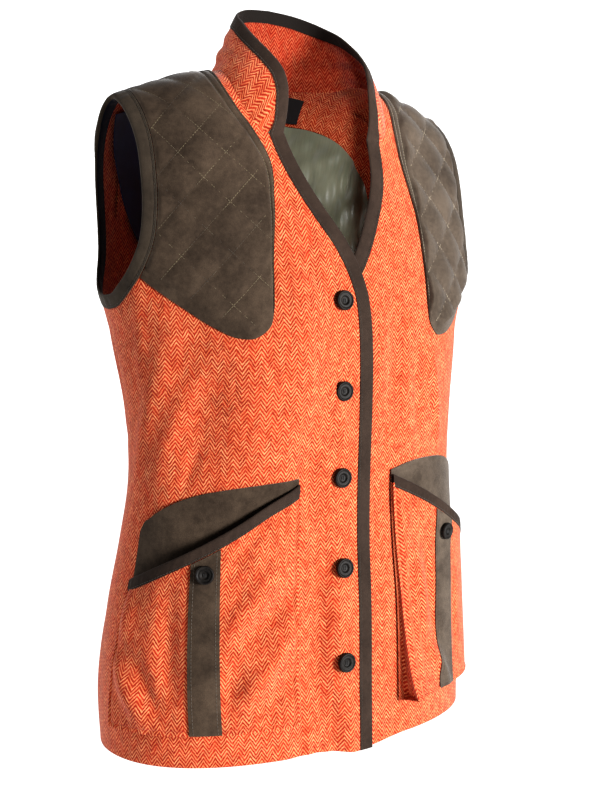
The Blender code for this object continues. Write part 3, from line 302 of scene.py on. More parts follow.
def curve(table, at):
    """Smooth curve through a table's rows, read by its first column."""
    table = np.asarray(table, float)
    keys = table[:, 0]
    at = np.clip(np.asarray(at, float), keys[0], keys[-1])
    row = np.clip(np.searchsorted(keys, at, side="right") - 1, 0, len(keys) - 2)
    slope = np.gradient(table[:, 1:], keys, axis=0)
    span = (keys[row + 1] - keys[row])[..., None]
    t = (at - keys[row])[..., None] / span
    start, end = table[row, 1:], table[row + 1, 1:]
    return ((2 * t**3 - 3 * t**2 + 1) * start + (t**3 - 2 * t**2 + t) * slope[row] * span
            + (3 * t**2 - 2 * t**3) * end + (t**3 - t**2) * slope[row + 1] * span)


def columns_at(table, at):
    """The same curve, with each column apart."""
    return np.moveaxis(curve(table, at), -1, 0)


def ease(t):
    """0 to 1 with a soft start and end."""
    t = np.clip(t, 0.0, 1.0)
    return t * t * (3 - 2 * t)


def unit(v):
    return v / np.linalg.norm(v, axis=-1, keepdims=True)


def form(angle, height):
    """Point of the body form. Above the armpit line the height is an arc over the shoulder."""
    angle, height = np.broadcast_arrays(np.asarray(angle, float), np.asarray(height, float))
    low = np.minimum(height, ARMPIT)
    climb = np.clip((height - ARMPIT) / RISE, 0.0, math.pi / 2)
    half, front, back, middle = columns_at(SECTIONS, low)
    middle = middle + SHOULDER_SHIFT * np.sin(climb)
    up = climb / (math.pi / 2)
    fade = np.clip(1 + FLARE_FADE * np.minimum(np.cos(angle), 0), 0, 1)
    wider_left = np.where(np.sin(angle) > 0, fade, 0.0) * columns_at(FLARE_LEFT, up)[0]
    wider = columns_at(FLARE, up)[0] + wider_left
    half = half * (1 + wider * np.sin(angle) ** 4)
    full = 1 + SQUARENESS * np.sin(2 * angle) ** 2
    x = half * np.sin(angle) * full
    in_front = np.cos(angle) > 0
    close = np.clip(np.cos(climb), 0.0, 1.0)
    close = np.where(in_front, close * (1 - FRONT_HOLLOW * np.sin(2 * climb) ** 2), close ** BACK_ROUND)
    round_it = (np.abs(angle) - BUST["angle"]) / BUST["wide"]
    along_it = (height - BUST["height"]) / BUST["tall"]
    bust = BUST["swell"] * np.exp(-round_it ** 2 - along_it ** 2)
    y = middle - (np.where(in_front, front, back) + bust) * np.cos(angle) * full * close
    z = low + (columns_at(RIDGE, np.abs(x))[0] - ARMPIT) * np.sin(climb)
    return np.stack([x, y, z], -1)


def slopes(angle, height):
    """How the form's point moves with the angle and with the height."""
    step = 1e-4
    height = np.minimum(height, TOP - step)
    round_ = (form(angle + step, height) - form(angle - step, height)) / (2 * step)
    up = (form(angle, height + step) - form(angle, height - step)) / (2 * step)
    return round_, up


def outward(angle, height):
    round_, up = slopes(angle, height)
    return unit(np.cross(round_, up))


def close_in(low, high, short):
    """Halves the spans between two arrays of numbers towards where a test stops holding."""
    for _ in range(40):
        middle = (low + high) / 2
        below = short(middle)
        low = np.where(below, middle, low)
        high = np.where(below, high, middle)
    return (low + high) / 2


def angle_at(x, height, back=False):
    """Angle round the form at which its point stands at x."""
    x, height = np.broadcast_arrays(np.asarray(x, float), np.asarray(height, float))

    def turned(angle):
        return math.pi - angle if back else angle

    quarter = np.full(x.shape, math.pi / 2)
    return turned(close_in(-quarter, quarter, lambda angle: form(turned(angle), height)[..., 0] < x))


def sign(side):
    return -1.0 if side == "right" else 1.0


def lap(side, x, height):
    """How far a front stands off the form where the two fronts lap."""
    tall = ease((LAP_TOP - height) / LAP_FADE)
    side_x, fade = LAP_SIDE[side]
    return -sign(side) * LAP_LIFT * tall * ease(-sign(side) * (x - side_x) / fade)


# the grid of distances over the form: round it from the front middle, and up from the hem

GRID_ANGLES = np.linspace(0, math.pi, 241)
GRID_HEIGHTS = np.linspace(HEM, TOP, 321)


def running(points, axis):
    """Distance run along one axis of a grid of points."""
    steps = np.linalg.norm(np.diff(points, axis=axis), axis=-1)
    return np.insert(np.cumsum(steps, axis=axis), 0, 0.0, axis=axis)


GRID = form(GRID_ANGLES[:, None], GRID_HEIGHTS[None, :])
AROUND = running(GRID, 0)
UPWARD = running(GRID, 1)
UPWARD = UPWARD - UPWARD[:, [np.argmin(np.abs(GRID_HEIGHTS - ARMPIT))]]


def read(table, angle, height):
    """Value of a table over the form's grid, blended between its four nearest entries."""
    a = np.clip(np.abs(angle) / GRID_ANGLES[1], 0, len(GRID_ANGLES) - 1.001)
    h = np.clip((height - HEM) / (GRID_HEIGHTS[1] - HEM), 0, len(GRID_HEIGHTS) - 1.001)
    i, j = a.astype(int), h.astype(int)
    a, h = a - i, h - j
    return (table[i, j] * (1 - a) * (1 - h) + table[i + 1, j] * a * (1 - h)
            + table[i, j + 1] * (1 - a) * h + table[i + 1, j + 1] * a * h)


def cloth_map(angle, height, behind=False):
    """Place in the cloth, in metres: round from the front or back middle, and up from the armpit line."""
    angle = np.where(angle > math.pi, angle - 2 * math.pi, angle)
    round_ = np.sign(angle) * read(AROUND, angle, height)
    if behind:
        whole = read(AROUND, np.full_like(angle, math.pi), height)
        round_ = np.sign(angle) * (np.abs(round_) - whole)
    return np.stack([round_, read(UPWARD, angle, height)], -1)


# soft folds: degrees round and height of both ends, half width, how far they stand out
FOLDS = (
    (-15.0, -0.175, -17.5, -0.405, 0.0160, 0.0040),
    (-7.5, -0.300, 0.5, -0.328, 0.0046, -0.0026),
    (-19.5, -0.118, -13.5, -0.153, 0.0057, -0.0031),
    (-15.5, -0.193, -9.5, -0.225, 0.0057, -0.0031),
    (-9.5, -0.488, -10.0, -0.653, 0.0068, -0.0044),
    (-4.0, -0.430, -4.5, -0.673, 0.0091, 0.0026),
    (-12.5, -0.615, -14.0, -0.705, 0.0057, 0.0044),
    (-7.0, -0.610, -5.0, -0.715, 0.0068, -0.0053),
    (-1.0, -0.623, -0.5, -0.705, 0.0057, 0.0035),
    (-22.0, -0.425, -11.0, -0.488, 0.0086, 0.0030),
    (32.0, -0.278, 44.0, -0.395, 0.0057, 0.0048),
    (17.0, -0.233, 18.5, -0.370, 0.0091, -0.0035),
    (24.0, -0.263, 31.0, -0.388, 0.0068, -0.0031),
    (11.0, -0.193, 10.5, -0.373, 0.0079, 0.0022),
    (14.5, -0.435, 12.0, -0.643, 0.0068, 0.0020),
    (64.0, -0.240, 78.0, -0.370, 0.0092, -0.0044),
    (-100.0, -0.235, -98.0, -0.348, 0.0059, -0.0018),
    (140.0, -0.330, 100.0, -0.375, 0.0070, -0.0020),
    (150.0, -0.360, 110.0, -0.400, 0.0070, 0.0018),
    (-142.0, -0.335, -101.0, -0.370, 0.0070, -0.0020),
    (-152.0, -0.368, -112.0, -0.405, 0.0070, 0.0018),
    (128.0, -0.150, 158.0, -0.250, 0.0090, -0.0018),
    (-126.0, -0.150, -156.0, -0.245, 0.0090, -0.0018),
    (165.0, -0.540, 158.0, -0.690, 0.0120, 0.0030),
    (-166.0, -0.530, -160.0, -0.690, 0.0120, 0.0028),
    (112.0, -0.560, 110.0, -0.690, 0.0120, 0.0026),
    (-110.0, -0.550, -111.0, -0.690, 0.0120, 0.0026),
    (-53.0, -0.245, -92.0, -0.412, 0.0125, 0.0036),
    (-39.0, -0.258, -77.0, -0.415, 0.0120, 0.0036),
    (-23.5, -0.200, -30.0, -0.440, 0.0400, 0.0088),
    (-50.0, -0.365, -60.0, -0.425, 0.0060, -0.0026),
    (-67.0, -0.190, -77.0, -0.325, 0.0090, 0.0020),
    (-9.0, -0.295, -0.5, -0.395, 0.0075, 0.0036),
    (-46.0, -0.215, -53.0, -0.440, 0.0340, -0.0085),
    (-13.0, -0.400, -13.0, -0.840, 0.0170, -0.0090),
    (-17.0, -0.335, -14.0, -0.445, 0.0140, -0.0060),
)
FOLD_RADIUS = 0.165          # turns degrees round into distance for the folds


def creases(table, scale, x, y):
    """How far cloth stands out at places on it: soft ridges and troughs along a table's lines, which
    fade out towards both their ends. The scale turns the lines' first and third numbers into metres."""
    total = np.zeros(np.broadcast(x, y).shape)
    for start_x, start_y, end_x, end_y, half, rise in table:
        run_x, run_y = (end_x - start_x) * scale, end_y - start_y
        length = math.hypot(run_x, run_y)
        gone = ((x - start_x * scale) * run_x + (y - start_y) * run_y) / length
        aside = ((x - start_x * scale) * run_y - (y - start_y) * run_x) / length
        total = total + rise * np.sin(math.pi * np.clip(gone / length, 0, 1)) * np.exp(-(aside / half) ** 2)
    return total


def ridges(table, x):
    """Soft ridges and troughs across a distance: each one's place, half width and rise."""
    return sum(rise * np.exp(-((x - at) / half) ** 2) for at, half, rise in table)


def folds(angle, height):
    """How far the cloth stands out where it is softly creased."""
    angle = np.where(angle > math.pi, angle - 2 * math.pi, angle)
    return creases(FOLDS, math.radians(1) * FOLD_RADIUS, angle * FOLD_RADIUS, height)


# the hem hangs a little lower where the fronts meet
HEM_DIP = 0.0055
DIP_ANGLE = math.radians(4)
DIP_REACH = 0.30             # radians round to either side
DIP_HEIGHT = 0.10            # height over which it fades out


def place(angle, height, off, side=None):
    """Points standing off the folded form, with the lap of that side's front where a side is given."""
    points = form(angle, height)
    off = np.asarray(off, float) + folds(angle, height)
    if side is not None:
        off = off + lap(side, points[..., 0], height)
    points = points + off[..., None] * outward(angle, height)
    dip = HEM_DIP * ease(1 - np.abs(angle - DIP_ANGLE) / DIP_REACH)
    points[..., 2] -= dip * ease((HEM + DIP_HEIGHT - height) / DIP_HEIGHT)
    return points


def inward(angle, height, turn, width, ring=False):
    """A curve on the form moved sideways by a width; turn +1 is to the left of its run, seen from outside."""
    for _ in range(2):
        points = form(angle, height)
        if ring:
            along = unit(np.roll(points, -1, 0) - np.roll(points, 1, 0))
        else:
            along = unit(np.gradient(points, axis=0))
        aside = turn * unit(np.cross(outward(angle, height), along)) * (width / 2)
        round_, up = slopes(angle, height)
        rr, ru, uu = (round_**2).sum(-1), (round_ * up).sum(-1), (up**2).sum(-1)
        ar, au = (aside * round_).sum(-1), (aside * up).sum(-1)
        fall = rr * uu - ru**2
        angle = angle + (ar * uu - au * ru) / fall
        height = np.minimum(height + (au * rr - ar * ru) / fall, TOP)
    return angle, height


# the lines that panels and bindings share

def front_edge(side, height):
    table = EDGE_RIGHT if side == "right" else EDGE_LEFT
    return angle_at(columns_at(table, height)[0], height)


def edge_heights():
    low = np.linspace(HEM, ARMPIT, LOW_ROWS)
    high = np.linspace(ARMPIT, JOINT, EDGE_ROWS + 1)[1:]
    return np.concatenate([low, high])


def seam_front(side, share):
    x, height = columns_at(SEAM_FRONT, share)
    return angle_at(sign(side) * x, height), height


def closer(count, pull=0.10):
    """Shares from 0 to 1 that a pull brings closer together towards 1."""
    share = np.linspace(0, 1, count)
    return share + pull * np.sin(math.pi * share)


def armhole(side, width):
    """An armhole's loop, a width in from its free edge: up the front, then down the back."""
    s = sign(side)
    share = closer(ARM_ROWS + 1)
    front_degrees, front_height = columns_at(ARM_FRONT, share)
    back_degrees, back_height = columns_at(ARM_BACK, share)
    angle = s * np.radians(np.concatenate([front_degrees, back_degrees[-2:0:-1]]))
    height = np.concatenate([front_height, back_height[-2:0:-1]])
    if width:
        angle, height = inward(angle, height, s, width, ring=True)
        angle[0] = s * math.pi / 2
        height[ARM_ROWS] = TOP
    return angle, height


def arm_back(side, width):
    """The back's half of an armhole's loop, from the underarm up to the shoulder, as if on the left."""
    angle, height = armhole(side, width)
    angle = sign(side) * angle
    angle = np.concatenate([angle[:1], angle[:ARM_ROWS:-1], math.pi - angle[ARM_ROWS:ARM_ROWS + 1]])
    height = np.concatenate([height[:1], height[:ARM_ROWS:-1], height[ARM_ROWS:ARM_ROWS + 1]])
    return angle, height


def pair(angle, height):
    return np.stack(np.broadcast_arrays(np.asarray(angle, float), np.asarray(height, float)), -1)


def between(start, end, share):
    """Grid of rows that run straight from one boundary to the other."""
    share = share[None, :, None]
    return start[:, None, :] * (1 - share) + end[:, None, :] * share


def coons(bottom, top, left, right, across, up):
    """Grid of angles and heights filled in between four boundary rows of them."""
    u = across[None, :, None]
    v = up[:, None, None]
    sides = (1 - u) * left[:, None, :] + u * right[:, None, :]
    ends = (1 - v) * bottom[None, :, :] + v * top[None, :, :]
    corners = ((1 - u) * (1 - v) * bottom[0] + u * (1 - v) * bottom[-1]
               + (1 - u) * v * top[0] + u * v * top[-1])
    return sides + ends - corners


def share_at(points, distance):
    """Share of a run of points, evenly numbered, at which a distance along it is reached."""
    steps = np.linalg.norm(np.diff(points, axis=0), axis=1)
    gone = np.concatenate([[0.0], np.cumsum(steps)])
    return float(np.interp(distance, gone, np.linspace(0, 1, len(points))))


def collar_lines(share, side):
    """The collar's free edge and its seam, from the joint to the back middle."""
    s = sign(side)
    over_front = share <= COLLAR_SIDE
    front_angle, front_height = seam_front(side, np.clip(share / COLLAR_SIDE, 0, 1) ** COLLAR_LEAN)
    x, back_height = columns_at(SEAM_BACK, (share - COLLAR_SIDE) / (1 - COLLAR_SIDE))
    angle = np.where(over_front, front_angle, s * angle_at(x, back_height, back=True))
    height = np.where(over_front, front_height, back_height)
    table = COLLAR_EDGE * (1, s, 1, 1)
    joint = form(*seam_front(side, 0.0))
    meet = np.clip(1 - share / COLLAR_MEET, 0, 1)[:, None]
    edge = curve(table, share) + (joint - table[0, 1:]) * meet
    return edge, form(angle, height)


class CollarHalf:
    """One half of the collar, as lines from its free edge down to its seam."""

    def __init__(self, side, share):
        s = sign(side)
        self.edge, self.seam = collar_lines(share, side)
        along = unit(np.gradient(self.edge, axis=0))
        along[-1] = (-s, 0, 0)
        down = self.seam - self.edge
        self.length = np.linalg.norm(down, axis=1)
        self.down = down / self.length[:, None]
        square = np.cross(along, self.down)
        self.lean = np.linalg.norm(square, axis=1)
        self.normal = -s * square / self.lean[:, None]

    def point(self, down):
        """Points a share of the way down; the collar bows out in between."""
        bow = COLLAR_ROUND * np.sin(math.pi * down) * np.clip(self.length / COLLAR_FULL, 0, 1)
        return (self.edge * (1 - down[..., None]) + self.seam * down[..., None]
                + bow[..., None] * self.normal)

    def below(self, width):
        """Share of the way down at a width from the free edge."""
        return width / self.lean / self.length


def mouth(side, share):
    """Height of a bag's open edge, and how far it stands off the form."""
    return columns_at(MOUTH[side], share)


def pocket_angle(side, share):
    first, last = POCKET_SPAN[side]
    return sign(side) * np.radians(first + (last - first) * np.asarray(share, float))


def bag_depth(side, share, height):
    """How far the bag's face stands off the form."""
    mouth_height, mouth_depth = mouth(side, share)
    fallen = np.clip((mouth_height - height) / (mouth_height - POCKET_BOTTOM), 0, 1)
    at_inner, at_middle, at_outer = columns_at(BAG_DEPTH[side], fallen)
    near = np.sin(math.pi / 2 * np.clip(share / BAG_SHOULDER, 0, 1))
    far = np.sin(math.pi / 2 * np.clip((1 - share) / BAG_SHOULDER, 0, 1))
    depth = np.where(share < 0.5, at_inner + (at_middle - at_inner) * near,
                     at_outer + (at_middle - at_outer) * far)
    blend = ease(fallen / BAG_NECK)
    return mouth_depth + (depth - mouth_depth) * blend


def along_rows(table, share):
    """Curve through a table's rows, evenly numbered."""
    return curve(np.column_stack([np.linspace(0, 1, len(table)), table]), share)


def both_halves(angle, height):
    """A grid over the left half of the back, from the middle outward, with its mirror image."""
    return (np.concatenate([angle[:, ::-1], 2 * math.pi - angle[:, 1:]], 1),
            np.concatenate([height[:, ::-1], height[:, 1:]], 1))


# meshes

def rows_of_faces(rows, columns, ring=False, closed=False):
    """Corner numbers of a grid's faces. A ring joins its last row to its first, and a closed one does
    so with its columns."""
    row = np.arange(rows if ring else rows - 1)[:, None]
    column = np.arange(columns if closed else columns - 1)[None, :]
    here, after = row * columns, (row + 1) % rows * columns
    beside = (column + 1) % columns
    return np.stack([here + column, here + beside, after + beside, after + column], -1).reshape(-1, 4)


def slab_faces(rows, columns, turned):
    """Faces of an upper and a lower grid of points, and of the rim between them."""
    count = rows * columns
    upper = rows_of_faces(rows, columns)
    rim = np.concatenate([
        np.arange(columns),
        np.arange(1, rows) * columns + columns - 1,
        (rows - 1) * columns + np.arange(columns - 2, -1, -1),
        np.arange(rows - 2, 0, -1) * columns,
    ])
    after = np.roll(rim, -1)
    edge = np.stack([after, rim, rim + count, after + count], -1)
    if turned:
        upper, edge = upper[:, ::-1], edge[:, ::-1]
    return np.concatenate([upper, upper[:, ::-1] + count, edge]).tolist()


def make(name, points, faces, spots, look, node=None, sharp=50.0):
    """A mesh piece that rides on the body; spots are its points' places in the cloth, in metres."""
    mesh = bpy.data.meshes.new(name)
    mesh.from_pydata(points.tolist(), [], faces)
    solid = bmesh.new()
    solid.from_mesh(mesh)
    bmesh.ops.recalc_face_normals(solid, faces=solid.faces)
    solid.to_mesh(mesh)
    solid.free()
    layer = mesh.uv_layers.new(name="cloth")
    corners = np.empty(len(mesh.loops), dtype=np.int32)
    mesh.loops.foreach_get("vertex_index", corners)
    layer.data.foreach_set("uv", np.asarray(spots, np.float32)[corners].ravel())
    mesh.shade_smooth()
    mesh.set_sharp_from_angle(angle=math.radians(sharp))
    mesh.materials.append(LOOKS[look])
    piece = bpy.data.objects.new(name, mesh)
    scene.collection.objects.link(piece)
    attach(piece, "root")
    if node:
        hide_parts(node)
    return piece


def grid_normals(points):
    """Normals of a grid, by the sense in which columns then rows run."""
    return unit(np.cross(np.gradient(points, axis=1), np.gradient(points, axis=0)))


def sheet(name, points, spots, thickness, look, node, sense=1.0, inside=0.0):
    """A sheet with both its faces and its rim, through a grid of points at mid thickness. Its flat
    size is measured on the same points."""
    rows, columns = points.shape[:2]
    lift = sense * grid_normals(points) * (thickness / 2)
    both = np.concatenate([(points + lift).reshape(-1, 3), (points - lift).reshape(-1, 3)])
    spots = spots.reshape(-1, 2)
    spots = np.concatenate([spots, spots + (0.0, inside)])
    piece = make(name, both, slab_faces(rows, columns, sense < 0), spots, look, node)


# materials

class Nodes:
    """Short way to write a material's nodes."""

    def __init__(self, name, roughness, sheen=0.0, sheen_roughness=0.5, specular=0.5):
        self.material = bpy.data.materials.new(name)
        self.material.use_nodes = True
        self.tree = self.material.node_tree
        self.shader = self.tree.nodes["Principled BSDF"]
        self.shader.inputs["Roughness"].default_value = roughness
        self.shader.inputs["Sheen Weight"].default_value = sheen
        self.shader.inputs["Sheen Roughness"].default_value = sheen_roughness
        self.shader.inputs["Specular IOR Level"].default_value = specular
        self.shader.inputs["Metallic"].default_value = 0.0

    def put(self, socket, value):
        if isinstance(value, bpy.types.NodeSocket):
            self.tree.links.new(value, socket)
        else:
            socket.default_value = value

    def node(self, kind, **settings):
        made = self.tree.nodes.new(kind)
        for key, value in settings.items():
            setattr(made, key, value)
        return made

    def math(self, operation, *values, clamp=False):
        made = self.node("ShaderNodeMath", operation=operation, use_clamp=clamp)
        for socket, value in zip(made.inputs, values):
            self.put(socket, value)
        return made.outputs[0]

    def in_cloth(self):
        """The point's place in the cloth, in metres."""
        return self.node("ShaderNodeUVMap", uv_map="cloth").outputs[0]

    def in_space(self):
        """The point's place in space, in metres."""
        return self.node("ShaderNodeTexCoord").outputs["Object"]

    def parts(self, vector):
        made = self.node("ShaderNodeSeparateXYZ")
        self.put(made.inputs[0], vector)
        return made.outputs

    def joined(self, x, y, z=0.0):
        made = self.node("ShaderNodeCombineXYZ")
        for socket, value in zip(made.inputs, (x, y, z)):
            self.put(socket, value)
        return made.outputs[0]

    def noise(self, vector, scale, detail=2.0, roughness=0.5):
        made = self.node("ShaderNodeTexNoise", noise_dimensions="3D")
        self.put(made.inputs["Vector"], vector)
        made.inputs["Scale"].default_value = scale
        made.inputs["Detail"].default_value = detail
        made.inputs["Roughness"].default_value = roughness
        return made.outputs[0]

    def stirred(self, value, noise, reach):
        """A value moved to and fro by a noise, by up to half the reach."""
        return self.math("MULTIPLY_ADD", self.math("SUBTRACT", noise, 0.5), reach, value)

    def random(self, x, y):
        made = self.node("ShaderNodeTexWhiteNoise", noise_dimensions="2D")
        self.put(made.inputs["Vector"], self.joined(x, y))
        return made.outputs[0]

    def spread(self, value, low, high, start=0.0, end=1.0, smooth=False):
        made = self.node("ShaderNodeMapRange")
        made.clamp = True
        if smooth:
            made.interpolation_type = "SMOOTHSTEP"
        for socket, number in zip(made.inputs, (value, low, high, start, end)):
            self.put(socket, number)
        return made.outputs[0]

    def blend(self, share, first, second, how="MIX"):
        made = self.node("ShaderNodeMix", data_type="RGBA", blend_type=how)
        self.put(made.inputs[0], share)
        for socket, value in zip(made.inputs[6:8], (first, second)):
            self.put(socket, value if isinstance(value, bpy.types.NodeSocket) else (*value, 1.0))
        return made.outputs[2]

    def colour(self, value):
        self.put(self.shader.inputs["Base Color"], value)

    def shaded(self, base, red, others):
        """A base colour with its red, and its green and blue, each multiplied."""
        self.colour(self.blend(1.0, base, self.joined(red, others, others), "MULTIPLY"))

    def bump(self, height, distance, strength=1.0):
        made = self.node("ShaderNodeBump")
        made.inputs["Strength"].default_value = strength
        made.inputs["Distance"].default_value = distance
        self.put(made.inputs["Height"], height)
        self.put(self.shader.inputs["Normal"], made.outputs[0])


WEAVE_PERIOD = 0.0114        # one whole zigzag of the herringbone
WEAVE_PITCH = 0.0043         # from one stroke to the next above it
WEAVE_SLANT = 1.90           # how many strokes a zigzag climbs
INSIDE = 10.0                # added to the upward place of a sheet's inner face
# painted shade on a sheet's inner face
INSIDE_PAINTED_SHADE = (0.38, 0.56)  # how much darker it is there, in red, and in green and blue
TWEED_LIGHT = (0.71, 0.162, 0.055)
TWEED_PEACH = (0.85, 0.345, 0.150)
TWEED_DARK = (0.24, 0.009, 0.003)
TWEED_RED = (0.45, 0.028, 0.009)


def tweed(name):
    """Herringbone wool: light and dark strokes in zigzag, with heather blotches and hairs.
    Where its place in the cloth lies beyond INSIDE, on a sheet's inner face, it is painted darker for the
    shade that falls there."""
    n = Nodes(name, 0.92, sheen=0.22, sheen_roughness=0.45, specular=0.12)
    spot = n.in_cloth()
    x, y = n.parts(spot)[:2]
    inside = n.math("GREATER_THAN", y, INSIDE / 2)
    x = n.stirred(x, n.noise(spot, 130.0), 0.0017)
    y = n.stirred(y, n.noise(spot, 75.0), 0.0030)
    # strokes in zigzag, each with its own pair of numbers
    column = n.math("MULTIPLY", x, 2 / WEAVE_PERIOD)
    zigzag = n.math("PINGPONG", column, 1.0)
    phase = n.math("MULTIPLY_ADD", zigzag, WEAVE_SLANT, n.math("MULTIPLY", y, 1 / WEAVE_PITCH))
    wave = n.math("PINGPONG", n.math("MULTIPLY", phase, 2.0), 1.0)
    stroke = n.spread(wave, 0.42, 0.76, smooth=True)
    which = n.math("FLOOR", column)
    light_one = n.random(which, n.math("FLOOR", n.math("ADD", phase, 0.5)))
    dark_one = n.random(n.math("ADD", which, 71.0), n.math("FLOOR", phase))
    # heather blotches over both kinds
    heather = n.noise(n.joined(n.math("MULTIPLY", x, 1.6), y), 170.0, 3.0, 0.62)
    peach = n.spread(n.math("MULTIPLY_ADD", light_one, 0.34, heather), 0.46, 0.86)
    light = n.blend(peach, TWEED_LIGHT, TWEED_PEACH)
    red = n.spread(n.math("MULTIPLY_ADD", dark_one, 0.34, heather), 0.50, 0.90)
    dark = n.blend(red, TWEED_DARK, TWEED_RED)
    # how clearly a stroke shows, from place to place
    clear = n.spread(n.noise(spot, 110.0, 2.0, 0.6), 0.30, 0.68, 0.45, 1.0)
    contrast = n.stirred(n.math("MULTIPLY", stroke, clear), n.noise(spot, 620.0, 2.0, 0.6), 0.9)
    contrast = n.math("ADD", contrast, 0.03, clamp=True)
    hairs = n.noise(n.joined(n.math("MULTIPLY", x, 2.0), y), 900.0, 2.0, 0.6)
    fleck = n.spread(hairs, 0.30, 0.72, 0.72, 1.22)
    # painted shade: the inner face is darkened
    red, others = (n.math("MULTIPLY", fleck, n.math("MULTIPLY_ADD", inside, -depth, 1.0))
                   for depth in INSIDE_PAINTED_SHADE)
    n.shaded(n.blend(contrast, dark, light), red, others)
    n.bump(n.math("MULTIPLY_ADD", hairs, 0.55, n.math("MULTIPLY", stroke, 0.6)), 0.00035, 0.8)
    return n.material


def napped(name, deep, pale, grain=1500.0, sheen=0.30, inside=None):
    """Suede or brushed cotton: mottled, with a short nap; a tape's inner layer may be painted darker, as the
    shade inside the garment.
    """
    n = Nodes(name, 0.88, sheen=sheen, sheen_roughness=0.35, specular=0.18)
    spot = n.in_space()
    blotch = n.noise(spot, 28.0, 3.0, 0.6)
    mottle = n.noise(spot, 190.0, 3.0, 0.65)
    fine = n.noise(spot, grain, 2.0, 0.6)
    share = n.spread(n.math("MULTIPLY_ADD", mottle, 0.35, n.math("MULTIPLY", blotch, 0.65)), 0.36, 0.64)
    base = n.blend(share, deep, pale)
    # painted shade: a tape's inner layer, inside the garment, takes the darker colour
    if inside:
        base = n.blend(n.math("LESS_THAN", n.parts(n.in_cloth())[0], -TAPE), base, inside)
    dust = n.spread(fine, 0.3, 0.7, 0.78, 1.22)
    n.shaded(base, dust, dust)
    n.bump(n.math("MULTIPLY_ADD", mottle, 0.5, fine), 0.00022, 0.8)
    return n.material


def satin(name, deep, pale, roughness, streak=0.25):
    """Lining: smooth, with fine lengthwise streaks and slight slubs."""
    n = Nodes(name, roughness, sheen=0.15, sheen_roughness=0.3, specular=0.55)
    spot = n.in_space()
    x, _, z = n.parts(spot)
    lines = n.noise(n.joined(n.math("MULTIPLY", x, 9.0), z), 60.0, 3.0, 0.6)
    cloud = n.noise(spot, 22.0, 2.0)
    share = n.spread(n.math("MULTIPLY_ADD", lines, streak, n.math("MULTIPLY", cloud, 1 - streak)), 0.35, 0.65)
    n.colour(n.blend(share, deep, pale))
    n.bump(n.math("MULTIPLY_ADD", n.noise(spot, 1400.0, 1.0), 0.5, lines), 0.00012, 0.5)
    return n.material


def horn(name):
    """Dark polished horn with faint streaks."""
    n = Nodes(name, 0.52, specular=0.16)
    spot = n.in_space()
    streaks = n.noise(spot, 260.0, 3.0, 0.6)
    n.colour(n.blend(n.spread(streaks, 0.35, 0.7), (0.0050, 0.0044, 0.0040), (0.0170, 0.0140, 0.0120)))
    n.bump(n.noise(spot, 700.0, 2.0), 0.0001, 0.4)
    return n.material


def threads(name, deep, pale, sunk=None):
    """Sewing thread with its twist; in places it may sink into the nap and nearly vanish."""
    n = Nodes(name, 0.7, sheen=0.2, specular=0.3)
    spot = n.in_space()
    twist = n.blend(n.spread(n.noise(spot, 2600.0, 1.0), 0.35, 0.65), deep, pale)
    if sunk:
        twist = n.blend(n.spread(n.noise(spot, 19.0, 2.0), 0.40, 0.56), sunk, twist)
    n.colour(twist)
    return n.material


LOOKS = {
    "tweed": tweed("tweed"),
    "suede_right": napped("suede_right", (0.0290, 0.0188, 0.0120), (0.0700, 0.0480, 0.0320)),
    # the left suede's paler colour is painted light, for the light its nap catches on that side
    "suede_left": napped("suede_left", (0.0420, 0.0300, 0.0210), (0.0950, 0.0720, 0.0530), sheen=0.45),
    # the tapes' inside colours are painted shade: darker brown in the bindings, navy-black in the armholes
    "binding": napped("binding", (0.0215, 0.0128, 0.0088), (0.0370, 0.0232, 0.0165), grain=1900.0,
                      sheen=0.12, inside=(0.0105, 0.0078, 0.0064)),
    "armhole_tape": napped("armhole_tape", (0.0310, 0.0225, 0.0155), (0.0560, 0.0415, 0.0290), grain=1900.0,
                           sheen=0.22, inside=(0.0080, 0.0085, 0.0165)),
    "olive": satin("olive_satin", (0.135, 0.145, 0.098), (0.250, 0.265, 0.190), 0.36),
    "brown_satin": satin("brown_satin", (0.0400, 0.0288, 0.0192), (0.0680, 0.0520, 0.0360), 0.45),
    # navy satin, painted shade: it stands in for the back lining in deep shade inside the armholes
    "navy": satin("navy_painted_shade_lining", (0.0040, 0.0085, 0.0380), (0.0110, 0.0210, 0.0880), 0.6),
    "slate": satin("slate_piping", (0.0210, 0.0252, 0.0420), (0.0455, 0.0525, 0.0770), 0.5),
    "label": satin("label", (0.0038, 0.0038, 0.0044), (0.0088, 0.0088, 0.0101), 0.55, streak=0.8),
    "horn": horn("horn"),
    "tan_thread": threads("tan_thread", (0.1320, 0.1045, 0.0550), (0.2200, 0.1815, 0.1100),
                          sunk=(0.045, 0.033, 0.022)),
    # thread of the left patch: pale thread, painted paler still for the highlight along its quilted ridges
    "pale_thread_and_highlight": threads("pale_thread_and_highlight", (0.2600, 0.2150, 0.1500), (0.4000, 0.3400, 0.2500)),
    "brown_thread": threads("brown_thread", (0.0660, 0.0510, 0.0390), (0.1200, 0.0960, 0.0750)),
    "dark_thread": threads("dark_thread", (0.0210, 0.0168, 0.0120), (0.0510, 0.0408, 0.0300)),
    "black_thread": threads("black_thread", (0.0063, 0.0057, 0.0057), (0.0252, 0.0227, 0.0214)),
}


# stitches

# a stitch's outline: share of the way along it, share of its radius
BEAD = np.array(((-0.5, 0.25), (-0.32, 0.9), (0.0, 1.0), (0.32, 0.9), (0.5, 0.25)))
BEAD_SIDES = 6


